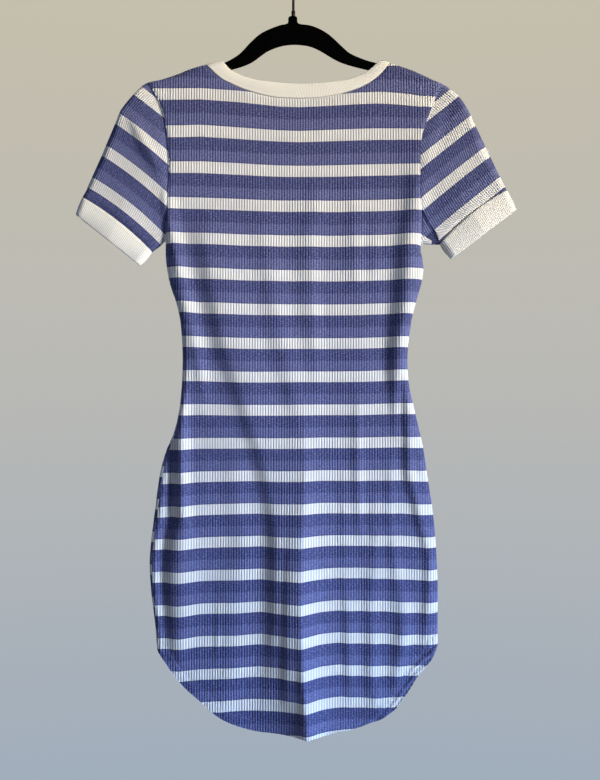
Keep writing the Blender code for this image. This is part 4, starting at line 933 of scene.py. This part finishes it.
def geometry_tree(name, given, steps):
    """Builds a geometry tree from the kinds of what it is given, and its nodes in order."""
    tree = bpy.data.node_groups.new(name, "GeometryNodeTree")
    tree.is_modifier = True
    for label, kind in given.items():
        tree.interface.new_socket(label, in_out="INPUT", socket_type="NodeSocket" + kind)
    tree.interface.new_socket("Made", in_out="OUTPUT", socket_type="NodeSocketGeometry")
    made = {"given": tree.nodes.new("NodeGroupInput")}
    add_nodes(tree, made, steps + [("end", "NodeGroupOutput", {}, {0: (steps[-1][0], 0)})])
    return tree


# Raises ribs on cloth, along the rib and the way that are stored at its points
RIBS = geometry_tree("raised ribs", {
    "Cloth": "Geometry", "Rib height": "Float", "Roundness": "Float", "Finish": "Material"}, [
        ("rib", "GeometryNodeInputNamedAttribute", {}, {"Name": "rib"}),
        ("way", "GeometryNodeInputNamedAttribute", {"data_type": "FLOAT_VECTOR"}, {"Name": "way"}),
        ("across", "ShaderNodeMath", {"operation": "FRACT"}, {0: ("rib", "Attribute")}),
        ("from groove", "ShaderNodeMath", {"operation": "MULTIPLY_ADD"},
         {0: ("across", 0), 1: 2.0, 2: -1.0}),
        ("both sides", "ShaderNodeMath", {"operation": "ABSOLUTE"}, {0: ("from groove", 0)}),
        ("rounded", "ShaderNodeMath", {"operation": "POWER"},
         {0: ("both sides", 0), 1: ("given", "Roundness")}),
        ("height", "ShaderNodeMath", {"operation": "MULTIPLY"},
         {0: ("rounded", 0), 1: ("given", "Rib height")}),
        ("lift", "ShaderNodeVectorMath", {"operation": "SCALE"},
         {0: ("way", "Attribute"), "Scale": ("height", 0)}),
        ("move", "GeometryNodeSetPosition", {},
         {"Geometry": ("given", "Cloth"), "Offset": ("lift", "Vector")}),
        ("real", "GeometryNodeRealizeInstances", {}, {0: ("move", 0)}),
        ("dress", "GeometryNodeSetMaterial", {},
         {"Geometry": ("real", 0), "Material": ("given", "Finish")})])


def set_inputs(modifier, values):
    """Sets a tree's named inputs by their sockets' identifiers."""
    for socket in modifier.node_group.interface.items_tree:
        if socket.item_type == "SOCKET" and socket.in_out == "INPUT" and socket.name in values:
            modifier[socket.identifier] = values[socket.name]


def plain_piece(name, item, smooth_angle):
    """Turns an object with its modifiers into a plain mesh piece."""
    seen = item.evaluated_get(bpy.context.evaluated_depsgraph_get())
    mesh = bpy.data.meshes.new_from_object(seen)
    bpy.data.objects.remove(item)
    mesh.polygons.foreach_set("use_smooth", [True] * len(mesh.polygons))
    mesh.set_sharp_from_angle(angle=math.radians(smooth_angle))
    mesh.update()
    return add_object(name, mesh)


def way_mesh(name, spots, edges, faces, ways):
    """Makes a mesh with the cloth's outward way stored at its points."""
    mesh = bpy.data.meshes.new(name)
    mesh.from_pydata(spots.tolist(), edges, faces)
    mesh.attributes.new("way", "FLOAT_VECTOR", "POINT").data.foreach_set("vector", ways.ravel())
    return mesh


def sew(name, spots, ways, faces, rib, stripe, finish, rib_height, wall=None, marks=()):
    """Makes a piece of ribbed cloth from points of its outer face."""
    mesh = way_mesh(name, spots, [], faces, ways)
    some = list(mesh.polygons)[::101]
    if sum(np.dot(face.normal, ways[face.vertices[0]]) for face in some) < 0:
        mesh.flip_normals()
    for key, values in (("rib", rib), ("stripe", stripe), *marks):
        mesh.attributes.new(key, "FLOAT", "POINT").data.foreach_set("value", values)
    item = add_object(name + "_cut", mesh)
    raised = item.modifiers.new("ribs", "NODES")
    raised.node_group = RIBS
    set_inputs(raised, {"Rib height": rib_height, "Roundness": 0.45, "Finish": finish.material})
    if wall:
        thick = item.modifiers.new("wall", "SOLIDIFY")
        thick.thickness = wall
        thick.offset = -1.0
    piece = plain_piece(name, item, 62)
    piece.data.attributes.remove(piece.data.attributes["way"])
    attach(piece, "root")
    return piece


# Striped rib jersey: off-white and two heather blues, with flecks drawn out along the ribs. The
# shares are of a stripe's pitch, from its white's upper edge down
WHITE_SHARE = 0.326
DARK_SHARE = 0.360
OFF_WHITE = (0.84, 0.82, 0.77, 1)
# Darker white, used both as painted shade in the ribs' grooves and as the colour of the white's
# dark flecks
WHITE_GROOVE_SHADE_AND_FLECK = (0.36, 0.33, 0.29, 1)
DARK_BLUE = (0.068, 0.078, 0.202, 1)
LIGHT_BLUE = (0.134, 0.147, 0.306, 1)
NAVY = (0.022, 0.025, 0.078, 1)
FLECK = (0.28, 0.30, 0.50, 1)

YARN = {"Specular IOR Level": 0.18, "Sheen Weight": 0.12, "Sheen Roughness": 0.6}
STRIPE_MM = 45.0
COURSE_MM = 1.1

jersey = Finish("striped rib jersey", YARN)
rib = jersey.mark("rib")
stripe = jersey.mark("stripe")
from_groove = abs(2.0 * jersey.math("FRACT", rib) - 1.0)
# How deep in a rib's groove a point lies, which sets the painted shade below
groove = 1.0 - jersey.step(from_groove, 0.12, 0.72)
yarns = jersey.node("CombineXYZ", {}, {"X": rib * (1000 * RIB_PITCH), "Y": stripe * STRIPE_MM})
fleck = jersey.noise(yarns, 2.0, stretch=(0.30, 0.70, 1.0))
cloudy = jersey.noise(yarns, 3.0, stretch=(0.075, 0.045, 1.0))
wander = jersey.noise(yarns, 2.0, stretch=(0.30, 0.02, 1.0))
place = jersey.math("FRACT", stripe)
white = 1.0 - jersey.step(place, WHITE_SHARE - 0.006, WHITE_SHARE + 0.006)
tucked = jersey.step(jersey.mark("tuck"), 0.0, 0.0006)
white = white * (1.0 - tucked) + tucked * jersey.step(jersey.mark("gusset"), 0.0, 0.0006)
shade_line = WHITE_SHARE + DARK_SHARE + 0.05 * (wander - 0.5)
lighter = jersey.step(place - shade_line, -0.022, 0.022)
blue = jersey.mix(lighter, DARK_BLUE, LIGHT_BLUE)
blue = jersey.mix(0.46 * jersey.step(fleck, 0.46, 0.70), blue, FLECK)
blue = jersey.mix(0.36 * (1.0 - jersey.step(fleck, 0.30, 0.52)), blue, NAVY)
rim = (1.0 - jersey.step(place - WHITE_SHARE, 0.004, 0.034)) + jersey.step(place, 0.966, 0.992)
blue = jersey.mix(0.55 * rim, blue, NAVY)
# Painted shade: the blues are darkened towards navy in the ribs' grooves
blue = jersey.mix(0.42 * groove, blue, NAVY)
# Painted shade: the white is darkened in the ribs' grooves
pale = jersey.mix(0.60 * groove, OFF_WHITE, WHITE_GROOVE_SHADE_AND_FLECK)
pale = jersey.mix(0.14 * (1.0 - jersey.step(fleck, 0.30, 0.55)), pale, WHITE_GROOVE_SHADE_AND_FLECK)
jersey.tint(jersey.mix(white, blue, pale), 0.90 + 0.20 * cloudy)
jersey.give("Roughness", 0.93 - 0.10 * from_groove)
courses = jersey.math("SINE", stripe * STRIPE_MM * (2.0 * math.pi / COURSE_MM))
jersey.emboss(0.35, 0.0003, 0.5 * fleck + 0.15 * courses + 0.35 * from_groove)


def pinch(z):
    """How many times deeper the seams are drawn in at a height."""
    return 1 + PINCH * np.exp(-((z - PINCH_LEVEL) / PINCH_REACH) ** 2)


def hang_panel(name, neck_rows, hem_rows, front):
    """A body panel: its cut laid on the folds of the hung dress."""
    flat, faces, seams, hem = cut_panel(neck_rows, hem_rows, front)
    u = flat[:, 0]
    z = flat[:, 1]
    sink = np.zeros(len(flat))
    for line in seams:
        sink = np.maximum(sink, np.exp(-(distance_to(flat, line) / SEAM_REACH) ** 2))
    sink *= pinch(z)
    above_hem = distance_to(flat, hem)
    rough = PUCKER + PUCKER_RIGHT * ease((u - PUCKER_RIGHT_FROM) / 0.06)
    pucker = np.exp(-((above_hem - PUCKER_PLACE) / PUCKER_REACH) ** 2)
    uneven = 1.9 * np.sin(u * 90.0)
    pucker *= np.sin((u - PUCKER_SLANT * z) * 2 * math.pi / PUCKER_PITCH + uneven)
    stitched = np.exp(-((above_hem - HEM_TURN) / STITCH_DENT_REACH) ** 2)
    extra = rough * pucker - STITCH_DENT * stitched
    extra += HEM_SWELL * (above_hem < HEM_TURN) - SEAM_SINK * sink
    x, face = flat_from_cloth(u, z, front)
    spots, ways = cloth(x, z, face, extra)
    stripe = stripe_place(x, z, front)
    return sew(name, spots, ways, faces, u / RIB_PITCH, stripe, jersey, RIB_HEIGHT, CLOTH)


back = hang_panel("back", NECK_SEAM_BACK, HEM_BACK, False)
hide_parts("back_panel")

front = hang_panel("front", NECK_SEAM_FRONT, HEM_FRONT, True)
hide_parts("front_panel")

# ------------------------------------------------------------------------------ sleeves
# Two short set-in sleeves of the same striped jersey, each closed along the underarm and sewn
# into its armhole. They hang flat and double from the hanger's tips.
SLEEVE_RIBS = 92
SLEEVE_ROWS = [0.0, 0.008, 0.018, 0.032, 0.05, 0.10, 0.15, 0.20, 0.25, 0.30, 0.35, 0.40, 0.45,
               0.50, 0.55, 0.60, 0.65, 0.70, 0.75, 0.80, 0.85, 0.90, 0.94, 0.97, 0.988, 1.0]
SLEEVE_ROLL = 0.009
SLEEVE_STEP = 0.0015
PAST_UNDERARM = 0.004
ARMHOLE_TRIES = 4000
SLEEVE_STRIPES = mm({
    "left": [161.5, 207, 251.5, 297.5, 341.5, 386.5, 431],
    "right": [172, 215.5, 260, 304, 347.8, 391.5, 435.5]})
ARMHOLE_HOLLOW = {"left": 0.0022, "right": 0.0010}
HOLLOW_REACH = 0.004
CUFF_BOW = {"left": 0.0046, "right": 0.0056}
STRIPE_BOW = {"left": 1.0, "right": 0.15}
# The right sleeve is tucked back under the arm, rows of x and z down the tuck's edge, which bares
# a white stripe of the sleeve's other layer beside the body
TUCK = mm([(170.5, -327), (180, -344), (188.4, -354.8), (194.5, -370)])
TUCK_DEPTH = 0.0022
TUCK_REACH = 0.003
BARE_TOP = (0.1704, -0.3589)
BARE_SLOPE = 0.56
BARE_RIGHT = 0.1835
CUFFS = mm({
    "left": {
        "seam": ((-279.7, -308.7), (-187.9, -380.5)),
        "edge": ((-289, -331.3), (-203.9, -398.5))},
    "right": {
        "seam": ((282.9, -298.8), (195.1, -370)),
        "edge": ((296.2, -324.7), (209.4, -389.9))}})


def sleeve_frame(hand):
    """Gives the sleeve's axis and the way across it, both as laid flat."""
    (ox, oz), (ix, iz) = CUFFS[hand]["seam"]
    across = np.array([ix - ox, iz - oz])
    across /= np.hypot(*across)
    along = np.array([across[1], -across[0]])
    return (-along if along[1] > 0 else along), across


def tucked_in(points, faces_front):
    """How far inside the right sleeve's tuck points lie, and how far inside the bared stripe."""
    x = points[:, 0]
    z = points[:, 1]
    edge = smooth_curve(TUCK, CUT_STEP)
    inside = (z < np.interp(x, edge[:, 0], edge[:, 1])) & ~faces_front
    slanted = BARE_TOP[1] - BARE_SLOPE * (x - BARE_TOP[0])
    return (distance_to(points, edge) * np.where(inside, 1.0, -1.0),
            np.minimum(slanted - z, BARE_RIGHT - x))


def grid_faces(rows, count, total=0):
    """Quads between rows of points, with the last row joined to the first if a total is given."""
    faces = []
    for r in range(rows):
        s = (r + 1) % total if total else r + 1
        for c in range(count - 1):
            faces.append((r * count + c, s * count + c, s * count + c + 1, r * count + c + 1))
    return faces


def hang_sleeve(name, hand):
    """A sleeve: ribs along its axis, from the armhole to the cuff's seam."""
    left = hand == "left"
    seam = np.array(CUFFS[hand]["seam"])
    bow = CUFF_BOW[hand]
    along, across = sleeve_frame(hand)
    outer = smooth_curve(SHOULDER[hand], SLEEVE_STEP)[:, :2]
    under = np.array(SIDE[hand][SLEEVE_POINTS][:2])
    end = np.dot(seam[0], along)
    s_under = np.dot(under, along)
    order = np.argsort(outer @ along)
    outer_s = (outer @ along)[order]
    outer_t = (outer @ across)[order]
    armhole = smooth_curve(ARMHOLE[hand], SLEEVE_STEP)[:, :2]
    armhole = armhole[np.argsort(armhole[:, 1])]
    wide_top = np.dot(under, across) - np.interp(s_under, outer_s, outer_t)
    wide_end = np.dot(seam[1], across) - np.interp(end, outer_s, outer_t)
    quarter = roll_length(SLEEVE_ROLL)

    def flat(share, s):
        width = wide_top + (wide_end - wide_top) * np.clip((s - s_under) / (end - s_under), 0, 1)
        extra = quarter - SLEEVE_ROLL
        arc = share * (width + 2 * extra)
        far = np.clip(width + 2 * extra - arc, 0, None)
        rolled = turn_in(arc, SLEEVE_ROLL, quarter)
        turned = width - turn_in(far, SLEEVE_ROLL, quarter)
        t = np.where(far < quarter, turned, np.where(arc < quarter, rolled, arc - extra))
        return s[..., None] * along + (t + np.interp(s, outer_s, outer_t))[..., None] * across

    half = SLEEVE_RIBS * COLUMNS_PER_RIB // 2
    shares = np.linspace(0, 1, half + 1)
    starts = []
    for share in shares:
        s = np.linspace(outer_s[0], s_under + PAST_UNDERARM, ARMHOLE_TRIES)
        p = flat(np.full_like(s, share), s)
        limit = np.interp(p[:, 1], armhole[:, 1], armhole[:, 0])
        off = (p[:, 0] < limit) if left else (p[:, 0] > limit)
        off |= p[:, 1] > armhole[-1, 1]
        on = np.nonzero(~off)[0]
        starts.append(s[min(on[-1] + 1, len(s) - 1)] if len(on) else s_under)
    starts[-1] = s_under
    pick = np.concatenate([np.arange(half, -1, -1), np.arange(1, half + 1)])
    share = shares[pick]
    start = np.array(starts)[pick]
    is_front = np.arange(len(pick)) > half
    stop = end - bow * 4 * share * (1 - share)
    down = np.array(SLEEVE_ROWS)[:, None]
    s = start + (stop - start) * down
    p = flat(np.broadcast_to(share, s.shape), s).reshape(-1, 2)
    faces_front = np.tile(is_front, len(SLEEVE_ROWS))
    away = np.minimum(s - start, 1.0).ravel()
    sink = np.exp(-(away / SEAM_REACH) ** 2) + np.exp(-((stop - s).ravel() / SEAM_REACH) ** 2)
    sink *= pinch(p[:, 1])
    hollow = ARMHOLE_HOLLOW[hand] * (away / HOLLOW_REACH) * np.exp(1 - away / HOLLOW_REACH)
    marks = ()
    if not left:
        tuck, bare = tucked_in(p, faces_front)
        marks = (("tuck", tuck), ("gusset", bare))
        hollow = hollow + TUCK_DEPTH * ease(tuck / TUCK_REACH)
    fold = np.tile(np.isclose(share, 0) | np.isclose(share, 1), len(SLEEVE_ROWS))
    extra = -SEAM_SINK * sink - hollow
    spots, ways = closed_cloth(p[:, 0], p[:, 1], faces_front, fold, extra)
    count = len(pick)
    faces = grid_faces(len(SLEEVE_ROWS) - 1, count)
    rib = np.tile(np.arange(count) / COLUMNS_PER_RIB, len(SLEEVE_ROWS))
    bowed = s + STRIPE_BOW[hand] * bow * 4 * share * (1 - share) * ease(down)
    tops = SLEEVE_STRIPES[hand]
    stripe = np.interp(bowed.ravel(), tops, np.arange(len(tops)))
    return sew(name, spots, ways, faces, rib, stripe, jersey, RIB_HEIGHT, CLOTH, marks)


for hand in ("left", "right"):
    sleeve = hang_sleeve(hand + "_sleeve", hand)
    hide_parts("sleeve_" + hand)

# ------------------------------------------------------------------------------ cuffs
# A band of fine cream rib, folded double, sewn by its raw edges to each sleeve's end. Its folded
# edge is soft and round, and the seam above it stands up in a small welt.
BAND = 0.0021
BAND_RIB_MM = 2.2
BAND_HEIGHT_MM = 20.0
BAND_RIB_HEIGHT = 0.00034
LOOP_STEP = 0.0005
# Rows of points down a band, as shares of its height, then round its open edge, in degrees
BAND_STEPS = (0.0, 0.04, 0.09, 0.18, 0.30, 0.45, 0.60, 0.75, 0.88, 1.0)
BAND_TURNS = (30, 60, 90, 120, 150)
# The welt along the seam and the dent above it: their heights, and shares of the band's height
WELT = 0.0005
WELT_PLACE = 0.07
WELT_REACH = 0.035
WELT_DENT = 0.0006
WELT_DENT_REACH = 0.03
CREAM = (0.95, 0.915, 0.80, 1)
# Darker cream: painted shade in the ribs' grooves
CREAM_GROOVE_SHADE = (0.50, 0.45, 0.36, 1)
# Painted shadow along the band's sewn edge, where the seam meets the cloth
PAINTED_SEAM_SHADOW = (0.22, 0.19, 0.16, 1)

trim = Finish("fine cream rib", YARN)
rib = trim.mark("rib")
across = trim.mark("stripe")
from_groove = abs(2.0 * trim.math("FRACT", rib) - 1.0)
groove = 1.0 - trim.step(from_groove, 0.05, 0.70)
yarns = trim.node("CombineXYZ", {}, {"X": rib * BAND_RIB_MM, "Y": across * BAND_HEIGHT_MM})
fleck = trim.noise(yarns, 2.0, stretch=(0.9, 0.35, 1.0))
# Painted shade: the cream is darkened in the ribs' grooves
colour = trim.mix(0.55 * groove, CREAM, CREAM_GROOVE_SHADE)
# Painted shadow: the band is darkened along its sewn edge
colour = trim.mix(0.60 * (1.0 - trim.step(across, 0.01, 0.06)), colour, PAINTED_SEAM_SHADOW)
trim.tint(colour, 0.94 + 0.12 * fleck)
trim.give("Roughness", 0.93 - 0.08 * from_groove)
trim.emboss(0.3, 0.0002, 0.6 * from_groove + 0.4 * fleck)


def even_loop(back_rows, front_rows, count):
    """Spaces points evenly along the cloth, down a line of the back and up one of the front."""
    halves = []
    for rows, is_front in ((back_rows, False), (front_rows[::-1], True)):
        line = smooth_curve(rows, LOOP_STEP)[:, :2]
        spot, _ = cloth(line[:, 0], line[:, 1], np.full(len(line), is_front))
        far = np.concatenate([[0], np.cumsum(np.linalg.norm(np.diff(spot, axis=0), axis=1))])
        marks = np.linspace(0, far[-1], count // 2 + 1)
        halves.append((np.interp(marks, far, line[:, 0]), np.interp(marks, far, line[:, 1]),
                       np.full(len(marks), is_front)))
    first, second = halves
    return [np.concatenate([a, b[1:]]) for a, b in zip(first, second)]


def make_band(name, start, end, bulge):
    """A double band between two closed lines of the cloth, folded round at its open edge."""
    count = len(start[0])
    rows = []
    half = 0.5 * BAND
    fold = [0, count // 2, count - 1]
    width = np.hypot(end[0] - start[0], end[1] - start[1])
    for t in BAND_STEPS:
        part = t * (1 - half / width)
        x = start[0] + (end[0] - start[0]) * part
        z = start[1] + (end[1] - start[1]) * part
        spot, way = closed_cloth(x, z, start[2], fold)
        welt = WELT * math.exp(-((t - WELT_PLACE) / WELT_REACH) ** 2)
        welt -= WELT_DENT * math.exp(-(t / WELT_DENT_REACH) ** 2)
        rows.append((spot, way, welt + bulge * math.sin(math.pi * t) ** 0.8, t))
    grid = [spot + way * lift for spot, way, lift, _ in rows]
    ways = [way for _, way, _, _ in rows]
    places = list(BAND_STEPS)
    spot, way = rows[-1][:2]
    out = unit(rows[-1][0] - rows[-2][0])
    for turn in BAND_TURNS:
        lean = way * math.cos(math.radians(turn)) + out * math.sin(math.radians(turn))
        grid.append(spot - way * half + lean * half)
        ways.append(lean)
        places.append(1.0)
    for spot, way, lift, t in rows[::-1]:
        grid.append(spot - way * BAND + way * 0.3 * lift)
        ways.append(-way)
        places.append(t)
    total = len(grid)
    faces = grid_faces(total, count, total)
    rib = np.tile(np.arange(count) / COLUMNS_PER_RIB, total)
    stripe = np.repeat(places, count)
    return sew(name, np.vstack(grid), np.vstack(ways), faces, rib, stripe, trim, BAND_RIB_HEIGHT)


CUFF_RIBS = 100
CUFF_PUFF = 0.0012
for hand, ends in CUFFS.items():
    loops = {}
    along, _ = sleeve_frame(hand)
    for key, (outer, inner) in ends.items():
        line = [inner, tuple(0.5 * (a + b) for a, b in zip(outer, inner)), outer]
        loops[key] = even_loop(line, line, CUFF_RIBS * COLUMNS_PER_RIB)
    t = np.linspace(0, 2, len(loops["seam"][0])) % 1.0
    bow = CUFF_BOW[hand] * 4 * t * (1 - t)
    loops["seam"][0] = loops["seam"][0] - bow * along[0]
    loops["seam"][1] = loops["seam"][1] - bow * along[1]
    band = make_band(hand + "_cuff", loops["seam"], loops["edge"], CUFF_PUFF)
    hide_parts("cuff_" + hand)
    hand + "_sleeve"

# ------------------------------------------------------------------------------ neckband
# The neckband: the same fine cream rib, folded double and sewn on a little stretched, so that it
# curves in and lies flat round the neck.
NECK_RIBS = 260
NECK_PUFF = 0.0006
NECK_EDGE_BACK = mm([
    (-94.8, -127.2), (-83.6, -140), (-70.3, -148), (-57, -152.7), (-43.8, -155.7), (-17.4, -159.1),
    (8.9, -160.1), (35.2, -159.2), (61.6, -156.1), (74.8, -152.9), (88.1, -148), (101.4, -140),
    (115.3, -126.5)])
NECK_EDGE_FRONT = mm([
    (-94.8, -127.2), (-85, -155), (-71, -179), (-51, -198.5), (-25, -211), (5.7, -215),
    (36.5, -211), (62.5, -198.5), (82.5, -179), (96.5, -155), (115.3, -126.5)])
seam = even_loop(NECK_SEAM_BACK, NECK_SEAM_FRONT, NECK_RIBS * COLUMNS_PER_RIB)
edge = even_loop(NECK_EDGE_BACK, NECK_EDGE_FRONT, NECK_RIBS * COLUMNS_PER_RIB)
neckband = make_band("neck_band", seam, edge, NECK_PUFF)
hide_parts("neckband")

# ------------------------------------------------------------------------------ hem stitching
# The hem: 13 mm of cloth turned up inside and held by two rows of stitches in a thread between
# the blues and the white.
STITCH = 0.0022
STITCH_PITCH = 0.0032
STITCH_THICK = 0.0004
STITCH_SINK = 0.0001
STITCH_MARGIN = 0.002
STITCH_LINE_STEP = 0.002
NEEDLE_GAP = 0.0030
THREAD = (0.24, 0.25, 0.46, 1)

thread = Finish("hem thread", {"Specular IOR Level": 0.3})
twist = thread.noise(thread.place(), 1.0, 2500.0)
thread.give("Base Color", thread.mix(twist, THREAD, (0.34, 0.35, 0.56, 1)))
thread.give("Roughness", 0.60 + 0.15 * twist)
thread.emboss(0.3, 0.0001, twist)


# Lays stitches along lines, flat on the way that is stored at the lines' points
STITCHES = geometry_tree("stitches", {
    "Lines": "Geometry", "Pitch": "Float", "Length": "Float", "Thickness": "Float",
    "Thread": "Material"}, [
        ("curve", "GeometryNodeMeshToCurve", {}, {"Mesh": ("given", "Lines")}),
        ("spaced", "GeometryNodeResampleCurve", {"mode": "LENGTH"},
         {"Curve": ("curve", 0), "Length": ("given", "Pitch")}),
        ("tangent", "GeometryNodeInputTangent", {}, {}),
        ("way", "GeometryNodeInputNamedAttribute", {"data_type": "FLOAT_VECTOR"}, {"Name": "way"}),
        ("run", "FunctionNodeAlignRotationToVector", {"axis": "X"}, {"Vector": ("tangent", 0)}),
        ("flat", "FunctionNodeAlignRotationToVector", {"axis": "Z", "pivot_axis": "X"},
         {"Rotation": ("run", 0), "Vector": ("way", "Attribute")}),
        ("bead", "GeometryNodeMeshIcoSphere", {}, {"Radius": 0.5, "Subdivisions": 1}),
        ("size", "ShaderNodeCombineXYZ", {},
         {"X": ("given", "Length"), "Y": ("given", "Thickness"), "Z": ("given", "Thickness")}),
        ("lay", "GeometryNodeInstanceOnPoints", {},
         {"Points": ("spaced", 0), "Instance": ("bead", "Mesh"), "Rotation": ("flat", 0),
          "Scale": ("size", 0)}),
        ("real", "GeometryNodeRealizeInstances", {}, {0: ("lay", 0)}),
        ("dress", "GeometryNodeSetMaterial", {},
         {"Geometry": ("real", 0), "Material": ("given", "Thread")})])

for name, rows, is_front in (("back_hem_stitches", HEM_BACK, False),
                             ("front_hem_stitches", HEM_FRONT, True)):
    hem_u, hem_z = hem_line(rows, STITCH_LINE_STEP).T
    slope = np.gradient(hem_z, hem_u)
    up = np.stack([-slope, np.ones_like(slope)], axis=-1) / np.hypot(slope, 1.0)[:, None]
    lines = []
    ways = []
    edges = []
    for inset in (HEM_TURN, HEM_TURN + NEEDLE_GAP):
        u = hem_u + up[:, 0] * inset
        z = hem_z + up[:, 1] * inset
        inside = (u > hem_u[0] + STITCH_MARGIN) & (u < hem_u[-1] - STITCH_MARGIN)
        x, face = flat_from_cloth(u[inside], z[inside], is_front)
        spot, way = cloth(x, z[inside], face)
        first = sum(len(line) for line in lines)
        lines.append(spot + way * (RIB_HEIGHT - STITCH_SINK))
        ways.append(way)
        edges += [(first + i, first + i + 1) for i in range(len(spot) - 1)]
    mesh = way_mesh(name, np.vstack(lines), edges, [], np.vstack(ways))
    item = add_object(name + "_lines", mesh)
    sewn = item.modifiers.new("stitches", "NODES")
    sewn.node_group = STITCHES
    set_inputs(sewn, {"Pitch": STITCH_PITCH, "Length": STITCH, "Thickness": STITCH_THICK,
                      "Thread": thread.material})
    stitches = plain_piece(name, item, 80)
    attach(stitches, "root")

# ------------------------------------------------------------------------------ camera
# Level with the middle of the dress, square to its back.
CAMERA_PLACE = (0.0089, -1.15, -0.5641)
HALF_HEIGHT = 0.5187
SENSOR = 36.0

camera_data = bpy.data.cameras.new("camera")
camera_data.sensor_width = SENSOR
camera_data.lens = 0.5 * SENSOR * abs(CAMERA_PLACE[1]) / HALF_HEIGHT
camera = add_object("camera", camera_data)
camera.location = CAMERA_PLACE
camera.rotation_euler = (0.5 * math.pi, 0.0, 0.0)
bpy.context.scene.camera = camera

# ------------------------------------------------------------------------------ light and stage
# A broad warm light from the right, a cool one from low on the right, a weak fill from the left,
# a plain pale floor under the hem, and a plain pale surround.
LIGHTS = {
    "key": {"place": (3.00, -1.70, 0.10), "aim": (-0.22, 0.0, -0.12), "size": 1.3, "power": 8.95,
            "colour": (1.0, 0.855, 0.61), "spread": 32.0},
    "low": {"place": (2.90, -1.65, -1.20), "aim": (-0.25, 0.0, -1.08), "size": 1.3, "power": 9.70,
            "colour": (0.32, 0.55, 1.0), "spread": 32.0},
    "fill": {"place": (-1.2, -2.2, 0.2), "aim": (0.0, 0.0, -0.5), "size": 1.8, "power": 8.0,
             "colour": (0.80, 0.85, 1.0), "spread": 180.0},
    "far side": {"place": (-1.1, 1.9, 0.1), "aim": (0.0, 0.0, -0.5), "size": 1.2, "power": 40.0,
                 "colour": (1.0, 0.98, 0.95), "spread": 180.0}}
FLOOR_LEVEL = -1.32
FLOOR_CORNERS = ((-0.9, -0.55), (0.9, -0.55), (0.9, 0.33), (-0.9, 0.33))
for name, facts in LIGHTS.items():
    lamp = bpy.data.lights.new(name, "AREA")
    lamp.shape = "DISK"
    lamp.size = facts["size"]
    lamp.energy = facts["power"]
    lamp.color = facts["colour"]
    lamp.spread = math.radians(facts["spread"])
    lit = add_object(name, lamp)
    lit.location = facts["place"]
    aim = Vector(facts["aim"]) - Vector(facts["place"])
    lit.rotation_euler = aim.to_track_quat("-Z", "Y").to_euler()

bpy.context.scene.view_settings.view_transform = "Standard"
world = bpy.data.worlds.new("pale surround")
world.use_nodes = True
bpy.context.scene.world = world
sky = world.node_tree
parts = {"seen": sky.nodes["Background"]}
add_nodes(sky, parts, [
    ("room", "ShaderNodeBackground", {}, {"Color": (0.30, 0.50, 1.0, 1), "Strength": 0.10}),
    ("where", "ShaderNodeTexCoord", {}, {}),
    ("apart", "ShaderNodeSeparateXYZ", {}, {0: ("where", "Generated")}),
    ("level", "ShaderNodeMapRange", {},
     {"Value": ("apart", "Z"), "From Min": -0.40, "From Max": 0.40}),
    ("ramp", "ShaderNodeValToRGB", {}, {"Fac": ("level", 0)}),
    ("ray", "ShaderNodeLightPath", {}, {}),
    ("choose", "ShaderNodeMixShader", {},
     {"Fac": ("ray", "Is Camera Ray"), 1: ("room", 0), 2: ("seen", 0)})])
ramp = parts["ramp"].color_ramp.elements
ramp[0].color = (0.355, 0.420, 0.500, 1)
ramp[1].color = (0.560, 0.520, 0.415, 1)
ramp.new(0.5).color = (0.485, 0.485, 0.465, 1)
sky.links.new(parts["ramp"].outputs["Color"], parts["seen"].inputs["Color"])
sky.links.new(parts["choose"].outputs[0], sky.nodes["World Output"].inputs["Surface"])

plain = Finish("plain pale floor", {"Roughness": 0.9})
grain = plain.noise(plain.place(), 3.0, 40.0)
plain.give("Base Color", plain.mix(grain, (0.60, 0.59, 0.57, 1), (0.64, 0.63, 0.61, 1)))
floor_mesh = bpy.data.meshes.new("floor")
floor_mesh.from_pydata([(x, y, FLOOR_LEVEL) for x, y in FLOOR_CORNERS], [], [(0, 1, 2, 3)])
floor_mesh.materials.append(plain.material)
floor = add_object("floor", floor_mesh)
